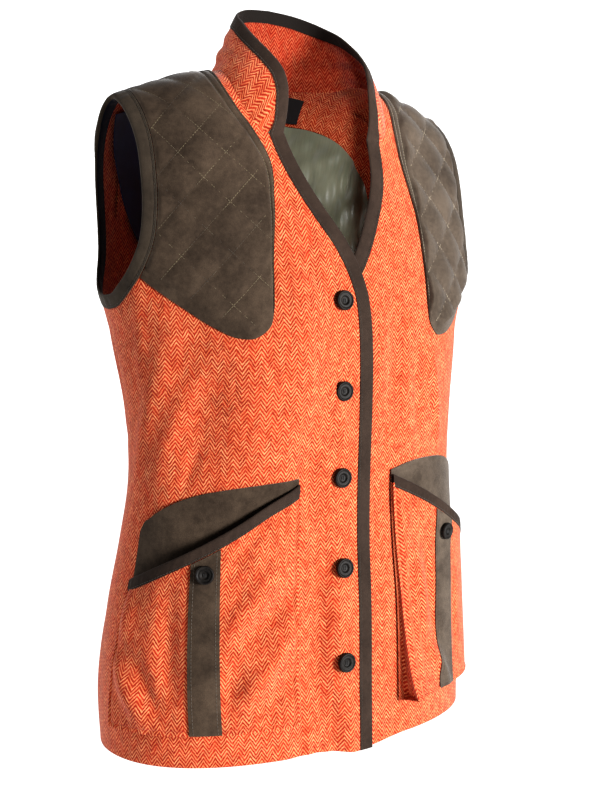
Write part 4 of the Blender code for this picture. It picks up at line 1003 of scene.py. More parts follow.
def stitches(name, runs, look, length=0.0026, gap=0.0008, radius=0.00030):
    """Threads lying along runs of points, each with its normals: one short bead for each stitch."""
    turns = np.linspace(0, 2 * math.pi, BEAD_SIDES + 1)[:-1]
    last = (len(BEAD) - 1) * BEAD_SIDES
    bead_faces = rows_of_faces(len(BEAD), BEAD_SIDES, closed=True).tolist()
    bead_faces += [range(BEAD_SIDES - 1, -1, -1), range(last, last + BEAD_SIDES)]
    points, faces = [], []
    for line, normals in runs:
        run = running(line, 0)
        for start in np.arange(gap, run[-1] - length, length + gap):
            at = np.array((start, start + length / 2, start + length))
            first, middle, end = np.stack([np.interp(at, run, line[:, k]) for k in range(3)], -1)
            up = unit(np.array([np.interp(at[1], run, normals[:, k]) for k in range(3)]))
            along = end - first
            side = unit(np.cross(along, up))
            faces.extend([len(points) + corner for corner in face] for face in bead_faces)
            ways = [math.cos(turn) * side + math.sin(turn) * up for turn in turns]
            points.extend(middle + share * along + size * radius * way
                          for share, size in BEAD for way in ways)
    points = np.array(points)
    return make(name, points, faces, points[:, (0, 2)], look)


# the fronts, the back and what is sewn round them

UNDER = 0.0065               # how far from a binding's free edge the cloth inside it reaches
UNDER_JOINT = 0.0130         # and where that tape turns into the collar's
UNDER_FADE = 0.035           # height over which it changes, below the joint
CLOTH = 0.0013               # thickness of the tweed as sewn
FRONT_COLUMNS = 72           # across each front, and across each half of the back
BACK_COLUMNS, SHOULDER_COLUMNS = 44, 22


def boundary_rows(side):
    """A front's inner boundary: the free edge up to the collar's joint, then the collar seam."""
    s = sign(side)
    run = edge_heights()
    under = UNDER + (UNDER_JOINT - UNDER) * ease((run - JOINT + UNDER_FADE) / UNDER_FADE)
    angle, height = inward(front_edge(side, run), run, -s, under[:, None])
    height[0] = HEM
    first = share_at(form(*seam_front(side, np.linspace(0, 1, 60))), UNDER_JOINT * 1.25)
    seam_angle, seam_height = seam_front(side, first + (1 - first) * closer(SEAM_ROWS))
    return np.concatenate([pair(angle, height), pair(seam_angle, np.minimum(seam_height, TOP))])


def outer_rows(angle, height, side_angle):
    """A panel's side seam from the hem up, then its half of an armhole up to the shoulder line."""
    angle[0] = side_angle
    height[-1] = TOP
    seam = np.linspace(HEM, height[0], LOW_ROWS)[:-1]
    return np.concatenate([pair(side_angle, seam), pair(angle, height)])


def front(side):
    """One tweed front, hem to shoulder line."""
    angle, height = armhole(side, UNDER)
    outer = outer_rows(angle[:ARM_ROWS + 1], height[:ARM_ROWS + 1], sign(side) * math.pi / 2)
    grid = between(boundary_rows(side), outer, np.linspace(0, 1, FRONT_COLUMNS))
    angle, height = grid[..., 0], grid[..., 1]
    sheet("front_%s_cloth" % side, place(angle, height, 0.0, side), cloth_map(angle, height), CLOTH,
          "tweed", "front_" + side, sense=sign(side))


def back_half(side, up=None):
    """Angles and heights over one half of the back, as if on the left, from the side to the middle."""
    outer = outer_rows(*arm_back(side, UNDER), math.pi / 2)
    x, neck_height = columns_at(SEAM_BACK, np.linspace(0, 1, BACK_COLUMNS + 1 - SHOULDER_COLUMNS))
    neck_height = np.minimum(neck_height, TOP)
    neck = pair(angle_at(x, neck_height, back=True), neck_height)
    step = np.linspace(0, 1, SHOULDER_COLUMNS + 1)[:-1, None]
    top = np.concatenate([outer[-1] * (1 - step) + neck[0] * step, neck])
    if up is None:
        up = (outer[:, 1] - HEM) / (outer[-1, 1] - HEM)
    across = (top[:, 0] - top[0, 0]) / (top[-1, 0] - top[0, 0])
    middle = pair(math.pi, HEM + (neck[-1, 1] - HEM) * up)
    bottom = pair(np.linspace(outer[0, 0], math.pi, BACK_COLUMNS + 1), HEM)
    return coons(bottom, top, outer, middle, across, up), up


def back():
    """The tweed back, hem to shoulder lines, in one piece."""
    left, up = back_half("left")
    right, _ = back_half("right", up)
    angle = np.concatenate([left[..., 0], 2 * math.pi - right[:, -2::-1, 0]], 1)
    height = np.concatenate([left[..., 1], right[:, -2::-1, 1]], 1)
    sheet("back_cloth", place(angle, height, 0.0), cloth_map(angle, height, behind=True), CLOTH,
          "tweed", "back")


# soft bands round inside the collar: share of the way down, half width, rise
COLLAR_BANDS = ((0.30, 0.085, 0.0008), (0.47, 0.085, -0.0014), (0.64, 0.085, 0.0010), (0.82, 0.085, -0.0014))
COLLAR_SEAM_GAP = 0.0004     # from the tweed's lower edge to the collar seam


def collar():
    """The stand collar's tweed."""
    share = np.linspace(COLLAR_START * 0.7, 1, 70)
    rows = np.linspace(0, 1, 40)[:, None]
    halves, spots = [], []
    for side in ("right", "left"):
        half = CollarHalf(side, share)
        upper = half.below(UNDER)
        lower = np.maximum(1 - COLLAR_SEAM_GAP / half.length, upper + 0.002)
        down = upper + (lower - upper) * rows
        halves.append(half.point(down))
        along = running(half.seam[None], 1)[0]
        x = sign(side) * (along[-1] - along)
        spots.append(np.stack([np.broadcast_to(x, down.shape), -down * half.length], -1))
    points = np.concatenate([halves[0], halves[1][:, -2::-1]], 1)
    spots = np.concatenate([spots[0], spots[1][:, -2::-1]], 1)
    behind = ease((np.concatenate([share, share[-2::-1]]) - 0.45) / 0.25)[None, :]
    points = points + (behind * ridges(COLLAR_BANDS, rows))[..., None] * grid_normals(points)
    # its inner face takes the tweed's painted shade
    sheet("collar_cloth", points, spots, CLOTH, "tweed", "collar",
          inside=INSIDE)


STITCH_IN = 0.86             # share of a tape's width at which it is sewn down
INNER_LAYER = 11             # row of the section where the tape's inside layer starts
# section of the folded tape's outer face: share of its width from the free edge, share of half its thickness
FOLD = np.array((
    (1.0, 0.86), (0.97, 0.96), (0.90, 0.90), (0.84, 0.80), (0.78, 0.92), (0.6, 1.0), (0.4, 1.0),
    (0.22, 1.0), (0.10, 0.86), (0.03, 0.5), (0.0, 0.0), (0.03, -0.5), (0.10, -0.86), (0.22, -1.0),
    (0.6, -1.0), (1.0, -1.0),
))
RIPPLES = (0.0061, 0.0093, 0.0170, 0.0310)   # lengths of the small ripples of a sewn bias


def tape(name, rails, width, high, low, look, node, sunk, ring=False, wave=0.00022, seed=1):
    """A tape folded over an edge, hollow for the cloth in it, with its stitches sunk in a little."""
    edge, far, edge_normal, far_normal = (rail[:, None] for rail in rails)
    count, columns = len(edge), len(FOLD)
    top = np.broadcast_to(high, (count,))[:, None]
    bottom = np.broadcast_to(low, (count,))[:, None]
    middle, half = (top + bottom) / 2, (top - bottom) / 2
    run = running(rails[0], 0)
    random = np.random.default_rng(seed)
    ripple = sum(np.sin(2 * math.pi * run / pitch + random.uniform(0, 6.28)) for pitch in RIPPLES)
    ripple = ripple[:, None] * wave / 2
    skins = []
    for inset in (0.0, TAPE):
        share = FOLD[:, 0] + inset / width * (1 - FOLD[:, 0])
        swell = np.sin(math.pi * np.clip(share, 0.05, 0.95)) * np.sign(FOLD[:, 1])
        off = middle + FOLD[:, 1] * (half - inset) + ripple * np.abs(FOLD[:, 1]) * swell
        share = share[:, None]
        normal = unit(edge_normal * (1 - share) + far_normal * share)
        skins.append(edge * (1 - share) + far * share + off[..., None] * normal)
    points = np.concatenate([skins[0], skins[1][:, ::-1]], 1)
    faces = rows_of_faces(count, 2 * columns, ring, closed=True).tolist()
    if not ring:
        last = (count - 1) * 2 * columns
        for k in range(columns - 1):
            quad = (k, k + 1, 2 * columns - 2 - k, 2 * columns - 1 - k)
            faces.append(quad[::-1])
            faces.append([last + corner for corner in quad])
    # places across are negative on the layer inside the garment
    across = FOLD[:, 0] * width * np.where(np.arange(columns) < INNER_LAYER, 1.0, -1.0)
    across = np.concatenate([across, across[::-1]])
    spots = np.stack(np.broadcast_arrays(across, run[:, None]), -1)
    piece = make(name, points.reshape(-1, 3), faces, spots.reshape(-1, 2), look, node, sharp=60.0)
    stitches(name.replace("_tape", "_stitches"), [tape_run(rails, STITCH_IN, high - sunk)],
             "dark_thread")


def tape_run(rails, share, off):
    """Line of stitches along a tape, at a share of its width from the free edge."""
    edge, far, edge_normal, far_normal = rails
    normal = unit(edge_normal * (1 - share) + far_normal * share)
    off = np.broadcast_to(off, (len(edge),))[:, None]
    return edge * (1 - share) + far * share + off * normal, normal


def edge_rails():
    """Rails of the one tape up the right front, round the collar and down the left front."""
    halves = []
    share = np.linspace(COLLAR_START, 1, 80)
    for side in ("right", "left"):
        height = edge_heights()
        angle = front_edge(side, height)
        far_angle, far_height = inward(angle, height, -sign(side), FRONT_BINDING)
        far_height[0] = HEM
        front_rows = [place(angle, height, 0.0, side), place(far_angle, far_height, 0.0, side),
                      outward(angle, height), outward(far_angle, far_height)]
        half = CollarHalf(side, share)
        collar_far = half.point(half.below(np.full(len(half.length), COLLAR_BINDING)))
        collar_rows = [half.edge, collar_far, half.normal, half.normal]
        turn = np.linspace(0, 1, 14)[1:-1]
        edge = collar_lines(turn * COLLAR_START, side)[0]
        start = front_rows[1][-1] - front_rows[0][-1]
        end = collar_rows[1][0] - collar_rows[0][0]
        soft = ease(turn)[:, None]
        far = edge + start * (1 - soft) + end * soft
        normal = unit(front_rows[2][-1] * (1 - soft) + half.normal[0] * soft)
        turn_rows = [edge, far, normal, normal]
        halves.append([np.concatenate(rows) for rows in zip(front_rows, turn_rows, collar_rows)])
    return [np.concatenate([right, left[-2::-1]]) for right, left in zip(*halves)]


def edge_binding():
    """The one tape round the fronts' edges and the collar."""
    tape("edge_binding_tape", edge_rails(), FRONT_BINDING, BIND_HALF, -BIND_HALF, "binding",
         "edge_binding", 0.00012)


def armhole_binding(side, seed):
    """The tape round an armhole, thicker where it lies over the patch."""
    edge_angle, edge_height = armhole(side, 0.0)
    far_angle, far_height = armhole(side, ARM_BINDING)
    share = closer(ARM_ROWS + 1)
    over_front = ease((share - PATCH_FROM) / PATCH_FADE)
    over_back = ease((share - PATCH_TO) / PATCH_FADE)
    cover = np.concatenate([over_front, over_back[-2:0:-1]])
    high = BIND_HALF + (PATCH_BINDING - BIND_HALF) * cover
    rails = [place(edge_angle, edge_height, 0.0), place(far_angle, far_height, 0.0),
             outward(edge_angle, edge_height), outward(far_angle, far_height)]
    tape("armhole_tape_" + side, rails, ARM_BINDING, high, -BIND_HALF, "armhole_tape",
         "armhole_binding_" + side, 0.00015, ring=True, seed=seed, wave=0.0003)


# the quilted patches

# lines of quilting, where round minus up, and round plus up, reach an offset and then each pitch
QUILT = {
    "right": ((-0.0552, 0.0530), (0.2910, 0.0467)),
    "left": ((-0.0660, 0.0580), (0.2706, 0.0480)),
}
PUFF = {"right": 0.0022, "left": 0.0042}
PILLOW = 0.55                # power that flattens the top of a diamond
ARM_PUFF = 0.35              # share of the puff that is left beside the armhole
ARM_PUFF_FADE = 0.006        # distance from it at which all of it is there
PUFF_FADE = 0.004            # distance over which it rises inside the border
PAD = 0.0005                 # how much higher the padded part lies throughout
RIM, THIN = 0.0012, 0.9      # width of the rounded rim, and how far the suede is pressed thinner
HEMS = (0.0030, 0.0092)      # the double stitched border, from the patch's edge
HEM_HALF, HEM_SUNK = 0.0009, 0.0010          # half width and depth of each of its lines


def quilt_lines(side, spots):
    """How many quilting lines of each family lie before each point, with a fraction."""
    round_, up = np.abs(spots[..., 0]), spots[..., 1]
    (first, first_pitch), (second, second_pitch) = QUILT[side]
    return (round_ - up - first) / first_pitch, (round_ + up - second) / second_pitch


def patch_grid(side):
    """Angles and heights over the patch, its inner edge first, from the foot over the shoulder."""
    columns = 96
    across = np.linspace(0, 1, columns)
    arm_angle, arm_height = armhole(side, ARM_BINDING + PATCH_GAP)
    arm_angle = sign(side) * arm_angle
    first = PATCH_ARM_ROW * FINE
    rows = np.arange(first, ARM_ROWS + 1)
    arm = pair(arm_angle[rows], arm_height[rows])
    up = (rows - first) / (ARM_ROWS - first)
    degrees, height = columns_at(PATCH_EDGE[side], up)
    inner = pair(np.radians(degrees), np.minimum(height, TOP))
    inner[-1, 1] = TOP
    degrees, height = columns_at(PATCH_FOOT[side], across)
    foot = pair(np.radians(degrees), height)
    foot = foot + (arm[0] - foot[-1]) * across[:, None] ** 2
    top = inner[-1] * (1 - across[:, None]) + arm[-1] * across[:, None]
    front_grid = coons(foot, top, inner, arm, across, up)
    arm_angle, arm_height = arm_back(side, ARM_BINDING + PATCH_GAP)
    rows = np.arange(ARM_ROWS - 1, ARM_ROWS - 4 * FINE - 1, -1)
    end = pair(arm_angle[rows], arm_height[rows])
    down = ((TOP - end[:, 1]) / (TOP - end[-1, 1]))[:, None]
    corner = pair(math.radians(PATCH_BACK_INNER), end[-1, 1])
    start = pair(math.pi - inner[-1, 0], TOP) * (1 - down) + corner * down
    grid = np.concatenate([front_grid, between(start, end, across)])
    return sign(side) * grid[..., 0], grid[..., 1]


def over_shoulder(angle, height):
    """Places in the cloth that run on over the shoulder line and down behind it."""
    behind = np.abs(angle) > math.pi / 2
    front_angle = np.where(behind, np.sign(angle) * math.pi - angle, angle)
    spots = cloth_map(front_angle, height)
    top = cloth_map(front_angle, np.full(height.shape, TOP))[..., 1]
    up = np.where(behind, 2 * top - spots[..., 1], spots[..., 1])
    return np.stack([spots[..., 0], up], -1)


def crossings(values, points, normals):
    """Runs of points along which a grid of values passes each whole number."""
    runs = []
    for number in range(math.ceil(np.nanmin(values)), math.floor(np.nanmax(values)) + 1):
        line, ways = [], []
        for row in range(len(values)):
            ahead = values[row] - number
            found = np.nonzero(ahead[:-1] * ahead[1:] < 0)[0]
            if len(found) == 0:
                continue
            k = found[0]
            t = ahead[k] / (ahead[k] - ahead[k + 1])
            line.append(points[row, k] * (1 - t) + points[row, k + 1] * t)
            ways.append(normals[row, k])
        if len(line) > 4:
            runs.append((np.array(line), np.array(ways)))
    return runs


def patch(side):
    """Suede over one shoulder, padded and quilted in diamonds."""
    angle, height = patch_grid(side)
    base = form(angle, height)
    normal = outward(angle, height)
    spots = over_shoulder(angle, height)
    length = np.linalg.norm(np.diff(base, axis=1), axis=2).sum(1)
    share = np.linspace(0, 1, base.shape[1])
    border = np.minimum.reduce([
        share[None, :] * length[:, None],
        np.linalg.norm(base - base[:1], axis=-1),
        np.linalg.norm(base - base[-1:], axis=-1),
    ])
    first, second = quilt_lines(side, spots)
    pillow = np.abs(np.sin(math.pi * first) * np.sin(math.pi * second)) ** PILLOW
    inside = ease((border - HEMS[1]) / PUFF_FADE)
    hems = ridges([(hem, HEM_HALF, HEM_SUNK) for hem in HEMS], border)
    arm_side = ease((1 - share[None, :]) * length[:, None] / ARM_PUFF_FADE)
    rise = PUFF[side] * pillow * inside * (ARM_PUFF + (1 - ARM_PUFF) * arm_side) - hems + PAD * inside
    low = base + (folds(angle, height) + lap(side, base[..., 0], height) + PATCH_LOW)[..., None] * normal
    high = low + (SUEDE * ease(border / RIM) * THIN + rise)[..., None] * normal
    spots = spots.reshape(-1, 2)
    piece = make("patch_" + side, np.concatenate([high.reshape(-1, 3), low.reshape(-1, 3)]),
                 slab_faces(*base.shape[:2], side == "right"), np.concatenate([spots, spots]),
                 "suede_" + side, "shoulder_patch_" + side)
    lifted = high + 0.0001 * normal
    runs = []
    for values in (first, second):
        runs += crossings(np.where(border > HEMS[1], values, np.nan), lifted, normal)
    # the left patch's paler thread also paints the highlight along its ridges
    thread = "tan_thread" if side == "right" else "pale_thread_and_highlight"
    stitches("quilting_" + side, runs, thread, length=0.0024, gap=0.0007, radius=0.00028)
    stitches("patch_border_" + side, border_runs(border, lifted, normal), thread,
             length=0.0024, gap=0.0009, radius=0.00024)


def border_runs(border, points, normals):
    """Lines at set distances inside the patch's inner edge."""
    runs = []
    for hem in HEMS:
        line, ways = [], []
        for row in range(6, len(border) - 6):
            if border[row].max() <= hem:
                continue
            k = int(np.argmax(border[row] > hem))
            if k > 0 and border[row, k] - border[row, k - 1] > 1e-6:
                t = (hem - border[row, k - 1]) / (border[row, k] - border[row, k - 1])
                line.append(points[row, k - 1] * (1 - t) + points[row, k] * t)
                ways.append(normals[row, k])
        runs.append((np.array(line), np.array(ways)))
    return runs


# the pockets

MOUTH_TUCK = 0.0040          # how far the bag's cloth runs up inside the tape on its mouth
BAG_WIDE = 0.170             # width of a bag's face, over which its shares run
PLEAT = 0.32                 # how far its side walls are drawn in, as a share of their depth
# the ridge and the groove along its edges: distance in, half width, rise
BAG_SEAM = ((0.0, 0.0014, 0.0011), (0.0036, 0.0010, -0.0007))
# shares across and up it, closer together beside its edges
BAG_ACROSS = np.concatenate([np.linspace(0, 0.05, 14)[:-1], np.linspace(0.05, 0.95, 64),
                             np.linspace(0.95, 1, 14)[1:]])
BAG_UP = np.concatenate([np.linspace(0, 0.035, 16)[:-1], np.linspace(0.035, 1, 84)])


def bag_face(side):
    """Shares and heights over the bag's face."""
    up = BAG_UP[:, None]
    rim = BAG_RIM_TOP + (BAG_RIM - BAG_RIM_TOP) * (1 - up)
    share = rim + (1 - 2 * rim) * BAG_ACROSS[None, :]
    top = mouth(side, share)[0] - MOUTH_BINDING + MOUTH_TUCK
    bottom = POCKET_BOTTOM + BAG_RISE
    height = bottom + (top - bottom) * up
    return share, height


# soft folds over a bag's face: share out and height of both ends, half width, how far they stand out
BAG_FOLDS = {
    "right": (
        (0.65, -0.492, 0.58, -0.640, 0.0111, -0.0071),
        (0.94, -0.508, 0.90, -0.566, 0.0111, 0.0050),
        (0.98, -0.568, 0.70, -0.640, 0.0086, 0.0071),
        (0.82, -0.564, 0.63, -0.635, 0.0074, -0.0050),
        (0.08, -0.478, 0.38, -0.558, 0.0099, 0.0071),
        (0.00, -0.506, 0.29, -0.566, 0.0086, -0.0071),
        (0.29, -0.562, 0.35, -0.640, 0.0086, -0.0050),
        (0.00, -0.536, 0.31, -0.625, 0.0086, 0.0066),
        (0.00, -0.578, 0.18, -0.637, 0.0086, -0.0050),
        (0.20, -0.440, 0.38, -0.506, 0.0074, -0.0039),
    ),
    "left": (
        (0.13, -0.478, 0.19, -0.586, 0.0074, 0.0050),
        (0.19, -0.586, 0.40, -0.650, 0.0074, 0.0050),
        (0.22, -0.470, 0.28, -0.600, 0.0063, -0.0039),
        (0.08, -0.436, 0.05, -0.540, 0.0063, 0.0028),
        (0.54, -0.512, 0.51, -0.622, 0.0063, -0.0028),
    ),
}


def bag_folds(side, share, height):
    """How far a bag's face stands out where it is softly creased."""
    return creases(BAG_FOLDS[side], BAG_WIDE, share * BAG_WIDE, height)


def wall(foot, edge, beside, steps):
    """A side wall from its foot to the face's edge, drawn in under the face like a pleat."""
    straight = foot[:, None] * (1 - steps[None, :, None]) + edge[:, None] * steps[None, :, None]
    reach = np.linalg.norm(edge - foot, axis=-1)[:, None, None]
    drawn = PLEAT * reach * np.sin(math.pi * steps)[None, :, None]
    return straight + drawn * unit(beside - edge)[:, None]


def bag(side):
    """The bellows pocket's face and gusset."""
    share, height = bag_face(side)
    beside = np.minimum(BAG_ACROSS, 1 - BAG_ACROSS)[None, :] * BAG_WIDE
    beside = np.minimum(beside, height - height[:1])
    depth = bag_depth(side, share, height) - TWEED / 2 + ridges(BAG_SEAM, beside)
    face = place(pocket_angle(side, share), height, depth + bag_folds(side, share, height), side)
    # the gusset, from the face's edges in to the front
    steps = np.linspace(0, 1, 8)[:-1]
    inner = place(pocket_angle(side, 0.0), height[:, 0], POCKET_FOOT, side)
    outer = place(pocket_angle(side, 1.0), height[:, -1], POCKET_FOOT, side)
    near = wall(inner, face[:, 0], face[:, 1], steps)
    far = wall(outer, face[:, -1], face[:, -2], steps)
    grid = np.concatenate([near, face, far[:, ::-1]], 1)
    rim = share[0, 0] * steps
    foot_share = np.concatenate([rim, share[0], 1 - rim[::-1]])
    foot = place(pocket_angle(side, foot_share), POCKET_BOTTOM, POCKET_FOOT, side)
    below = foot[None] * (1 - steps[:, None, None]) + grid[:1] * steps[:, None, None]
    points = np.concatenate([below, grid])
    across = running(points[len(steps) + 5][None], 1)
    spots = np.stack([np.broadcast_to(across, points.shape[:2]), running(points, 0)], -1)
    sheet("bag_" + side, points, spots, CLOTH, "tweed", "pocket_bag_" + side,
          sense=sign(side))


def mouth_binding(side, seed):
    """The tape on a pocket's open edge."""
    share = np.linspace(BAG_RIM_TOP, 1 - BAG_RIM_TOP, 120)
    height, off = mouth(side, share)
    angle = pocket_angle(side, share)
    low = height - MOUTH_BINDING
    rails = [place(angle, height, off - TWEED / 2, side),
             place(angle, low, bag_depth(side, share, low) - TWEED / 2, side),
             outward(angle, height), outward(angle, low)]
    tape("mouth_tape_" + side, rails, MOUTH_BINDING, MOUTH_HALF, -MOUTH_HALF, "binding",
         "pocket_mouth_" + side, 0.0001, seed=seed)


def backing(side):
    """Suede on the front behind the pocket's mouth."""
    across = np.linspace(0.004, 0.984, 90)
    top = columns_at(BACKING_TOP[side], across)[0]
    bottom = mouth(side, across)[0] - BACKING_BELOW
    share = np.linspace(0, 1, 24)[:, None]
    height = bottom * (1 - share) + top * share
    angle = np.broadcast_to(pocket_angle(side, across)[None, :], height.shape)
    sheet("mouth_suede_" + side, place(angle, height, BACKING_LOW + BACKING / 2, side),
          cloth_map(angle, height), BACKING, "suede_" + side, "pocket_backing_" + side,
          sense=sign(side))


STRAP_LIFT = 0.0001          # between a strap and its bag, and from it up to its stitches


def strap(side):
    """The suede strap down the pocket's face, with its edge stitches."""
    rows, columns = 60, 9
    up = np.linspace(0, 1, rows)[:, None]
    first, last = POCKET_SPAN[side]
    top, bottom = STRAP_LINE[side]
    middle = (top + (bottom - top) * (1 - up) - first) / (last - first)
    half = math.degrees(STRAP_HALF / POCKET_RADIUS) / (last - first)
    share = middle + half * np.linspace(-1, 1, columns)[None, :]
    upper = mouth(side, share)[0] - MOUTH_BINDING - MOUTH_GAP
    height = POCKET_BOTTOM + BAG_RISE + (upper - POCKET_BOTTOM - BAG_RISE) * up
    off = bag_depth(side, share, height) - TWEED / 2 + bag_folds(side, share, height)
    off = off + CLOTH / 2 + BACKING / 2 + STRAP_LIFT
    angle = pocket_angle(side, share)
    points = place(angle, height, off, side)
    sheet("strap_" + side, points, cloth_map(angle, height), BACKING, "suede_" + side,
          "pocket_strap_" + side, sense=sign(side))
    normal = sign(side) * grid_normals(points)
    lifted = points + (BACKING / 2 + STRAP_LIFT) * normal
    runs = [(lifted[:, k], normal[:, k]) for k in (1, columns - 2)]
    stitches("strap_stitches_" + side, runs, "brown_thread")
    gone = running(points[::-1, columns // 2], 0)
    row = rows - 1 - int(np.argmax(gone > STRAP_BUTTON))
    spot, way = points[row, columns // 2], normal[row, columns // 2]
    button("button_pocket_" + side, "pocket_button_" + side,
           spot + (BACKING / 2 + BUTTON_SHANK) * way, way, POCKET_BUTTON_RADIUS)


# buttons

# a button's profile over its face: share of the radius, height
BUTTON_FACE = np.array((
    (0.00, 0.0024), (0.30, 0.0024), (0.36, 0.0025), (0.42, 0.0033), (0.47, 0.0040), (0.52, 0.0042),
    (0.60, 0.0041), (0.70, 0.0040), (0.76, 0.0043), (0.82, 0.0050), (0.88, 0.0052), (0.94, 0.0048),
    (0.985, 0.0038), (1.00, 0.0028), (0.985, 0.0016), (0.94, 0.0008), (0.80, 0.0002), (0.60, 0.0),
    (0.00, 0.0),
))


BUTTON_SIDES = 48
DISH = 0.0027                # height of the threads' middle above a button's foot
THREAD_APART = 0.0009        # from the button's middle to each thread
THREAD_HALF = 0.0024         # half the length of a thread


def button(name, node, foot, axis, radius):
    """A dished button turned in horn, with two threads across its middle."""
    side = unit(np.cross(axis, (0.0, 0.0, 1.0)))
    up = np.cross(side, axis)
    size = radius / BUTTON_RADIUS
    turn = np.linspace(0, 2 * math.pi, BUTTON_SIDES, endpoint=False)[:, None]
    points = [foot + height * size * axis + share * radius * (np.cos(turn) * side - np.sin(turn) * up)
              for share, height in BUTTON_FACE[1:-1]]
    rings = len(points)
    points = np.concatenate(points + [[foot + BUTTON_FACE[0, 1] * size * axis, foot]])
    faces = rows_of_faces(rings, BUTTON_SIDES, closed=True)[:, (0, 3, 2, 1)].tolist()
    top = rings * BUTTON_SIDES
    last = top - BUTTON_SIDES
    for k in range(BUTTON_SIDES):
        after = (k + 1) % BUTTON_SIDES
        faces.append((top, k, after))
        faces.append((top + 1, last + after, last + k))
    make(name, points, faces, points[:, (0, 2)], "horn", node, sharp=70.0)
    runs = []
    for offset in (-THREAD_APART, THREAD_APART):
        line = foot + DISH * size * axis + offset * side + np.linspace(-1, 1, 5)[:, None] * up * THREAD_HALF
        line[[0, -1]] -= 0.0005 * axis
        runs.append((line, np.broadcast_to(axis, line.shape)))
    stitches(name + "_thread", runs, "black_thread", length=0.0044, gap=0.0001, radius=0.00055)


# inside the back

def facing():
    """The tweed band inside the back neck."""
    share = np.linspace(0, 1, 70)
    edge = along_rows(FACING_EDGE, share)
    outer = along_rows(FACING_OUTER, share)
    rows = np.linspace(0, 1, 20)[:, None, None]
    half = edge[None] * (1 - rows) + outer[None] * rows
    angle, height = both_halves(math.pi - np.radians(half[..., 0]), half[..., 1])
    off = -TWEED / 2 - LINING_GAP - LINING / 2
    sheet("neck_facing", place(angle, height, off), cloth_map(angle, height, behind=True), LINING,
          "tweed", "back_neck_facing", sense=-1.0)


def lining():
    """The satin lining inside the back, in hanging folds."""
    share = np.linspace(0, 1, 130)
    edge = along_rows(FACING_EDGE, share)
    rows = np.linspace(0, 1, 90)[:, None]
    gap = LINING_UNDER * FACING_GAP
    top_height = edge[:, 1] - gap
    top_angle = math.pi - np.radians(edge[:, 0] * (1 - gap / LINING_RADIUS))
    low_angle = math.pi - np.radians(LINING_SIDE) * share
    spread = ease(rows / LINING_SPREAD)
    angle = top_angle[None, :] * (1 - spread) + low_angle[None, :] * spread
    height = top_height[None, :] + (LINING_HEM - top_height[None, :]) * rows
    angle, height = both_halves(angle, height)
    narrow = 1 - LINING_NARROW * ease(-height / LINING_NARROW_FADE)
    angle = math.pi + (angle - math.pi) * np.where(angle > math.pi, narrow, 1.0)
    across = LINING_RADIUS * (angle - math.pi)
    off = -TWEED / 2 - LINING_GAP - LINING / 2 - LINING_LOW
    for rise, pitch, lean, start, fade in LINING_FOLDS:
        wave = np.sin(2 * math.pi * across / pitch + lean * height)
        off = off + rise * wave * ease((start - height) / fade)
    aside = across - DART["across"] + DART["lean"] * (height - DART["height"])
    dart = DART["depth"] * np.exp(-(aside / DART["half"]) ** 2)
    off = off - dart * ease((height - DART["end"]) / DART["fade"])
    sheet("lining_cloth", place(angle, height, off), cloth_map(angle, height, behind=True), LINING * 0.7,
          "olive", "back_lining", sense=-1.0)


def arm_lining(side):
    """The dark navy layer at the back of an armhole; its navy paints the back lining's deep shade there."""
    table = ARM_LINING[side]
    height = np.linspace(table[0, 0], table[-1, 0], 60)
    edge, far = columns_at(table, height)
    across = np.linspace(0, 1, 16)[None, :]
    degrees = edge[:, None] * (1 - across) + far[:, None] * across
    angle = sign(side) * (math.pi - np.radians(degrees))
    grid_height = np.broadcast_to(height[:, None], angle.shape)
    off = -TWEED / 2 - LINING_GAP - LINING - ARM_LINING_GAP - LINING / 2
    sheet("arm_lining_cloth_" + side, place(angle, grid_height, off), cloth_map(angle, grid_height),
          LINING, "navy", "arm_lining_" + side, sense=sign(side))


def label():
    """The bare label on the facing."""
    x = np.linspace(-LABEL_HALF, LABEL_HALF, 40)[None, :]
    z = np.array(LABEL_HEIGHTS[::-1])[:, None]
    z, x = np.broadcast_arrays(z, x)
    ends = close_in(np.full(x.shape, ARMPIT), np.full(x.shape, SEAM_BACK[-1, 2]),
                    lambda at: form(angle_at(x, at, back=True), at)[..., 2] < z)
    up = np.linspace(0, 1, 14)[:, None]
    height = ends[:1] * (1 - up) + ends[1:] * up
    x = np.broadcast_to(x[:1], height.shape)
    angle = angle_at(x, height, back=True)
    off = -TWEED / 2 - LINING_GAP - LINING - LABEL_GAP - LINING / 2
    sheet("label_cloth", place(angle, height, off), np.stack([x, height], -1), LINING * 0.6,
          "label", "label")


for number, which in enumerate(("right", "left")):
    front(which)
    armhole_binding(which, 3 + number)
    patch(which)
    backing(which)
    bag(which)
    mouth_binding(which, 7 + number)
    strap(which)
    arm_lining(which)
back()
collar()
edge_binding()
facing()
lining()
label()
for number, at in enumerate(BUTTON_HEIGHTS, 1):
    round_at = angle_at(BUTTON_X, at)
    button("button_front_%d" % number, "front_button_%d" % number,
           place(round_at, at, CLOTH / 2 + BUTTON_SHANK, "right"), outward(round_at, at), BUTTON_RADIUS)


# floor, backdrop, light and camera

AZIMUTH, ELEVATION, DISTANCE = -33.55, 4.7, 1.3    # the photograph's viewing angle
TARGET = Vector((0.0179, 0.0, -0.3387))
LENS = 53.96
FLOOR = HEM - 0.070
WALL = 2.4                   # how far behind the gilet the backdrop stands
NEAR = -0.9                  # how far the floor reaches in front of it
WIDE = 2.2                   # how far both reach to either side
TALL = 2.4                   # top of the backdrop
turn, rise = math.radians(AZIMUTH), math.radians(ELEVATION)
away = Vector((-math.sin(turn), math.cos(turn), 0.0))
across = Vector((away.y, -away.x, 0.0))


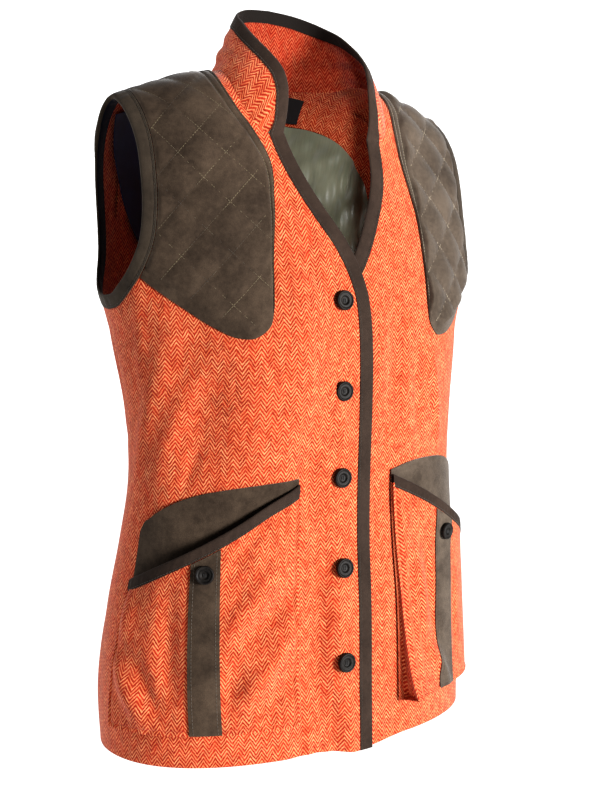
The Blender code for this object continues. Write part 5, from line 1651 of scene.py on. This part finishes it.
def pale(name, glow):
    """White painted surface with a faint grain, which glows a little so that it stays even."""
    n = Nodes(name, 0.9, specular=0.2)
    spot = n.in_space()
    n.colour(n.blend(n.noise(spot, 30.0, 3.0), (0.38, 0.38, 0.38), (0.42, 0.42, 0.42)))
    n.shader.inputs["Emission Color"].default_value = (1, 1, 1, 1)
    n.shader.inputs["Emission Strength"].default_value = glow
    n.bump(n.noise(spot, 400.0, 2.0), 0.0002, 0.3)
    return n.material


def stage_plane(name, corners, glow):
    """A flat white surface; its corners are given to the side, behind the gilet and up."""
    mesh = bpy.data.meshes.new(name)
    mesh.from_pydata([tuple(side * WIDE * across + behind * away + Vector((0, 0, up)))
                      for side, behind, up in corners], [], [(0, 1, 2, 3)])
    mesh.materials.append(pale(name, glow))
    made = bpy.data.objects.new(name, mesh)
    scene.collection.objects.link(made)


stage_plane("floor", ((-1, NEAR, FLOOR), (1, NEAR, FLOOR), (1, WALL, FLOOR), (-1, WALL, FLOOR)), 0.80)
stage_plane("backdrop", ((-1, WALL, FLOOR), (1, WALL, FLOOR), (1, WALL, TALL), (-1, WALL, TALL)), 1.00)

world = scene.world or bpy.data.worlds.new("world")
scene.world = world
world.use_nodes = True
background = world.node_tree.nodes["Background"].inputs
background["Color"].default_value = (1.0, 1.0, 1.0, 1)
background["Strength"].default_value = 0.07


def light(name, kind, at, aim, power):
    """A lamp turned towards a point."""
    data = bpy.data.lights.new(name, kind)
    data.energy = power
    lamp = bpy.data.objects.new(name, data)
    lamp.location = at
    lamp.rotation_euler = (Vector(aim) - lamp.location).to_track_quat("-Z", "Y").to_euler()
    scene.collection.objects.link(lamp)
    return data


light("key", "AREA", (0.68, -2.09, -0.20), (0.0, 0.0, -0.30), 94.0).size = 0.6
light("left", "AREA", (-1.75, 1.15, 0.45), (0.0, 0.0, -0.30), 25.0).size = 1.0
# a soft spot that reaches in through the neck, to the lining
neck = light("neck", "SPOT", (-0.62, -1.25, 0.35), (0.10, 0.08, -0.06), 85.0)
neck.shadow_soft_size = 0.10
neck.spot_size = math.radians(12)
neck.spot_blend = 1.0

scene.view_settings.view_transform = "Standard"
scene.view_settings.look = "Medium High Contrast"

way = Vector((math.sin(turn) * math.cos(rise), -math.cos(turn) * math.cos(rise), math.sin(rise)))
eye = bpy.data.objects.new("camera", bpy.data.cameras.new("camera"))
eye.data.lens = LENS
eye.data.sensor_width = 36.0
eye.location = TARGET + DISTANCE * way
eye.rotation_euler = (-way).to_track_quat("-Z", "Y").to_euler()
scene.collection.objects.link(eye)
scene.camera = eye
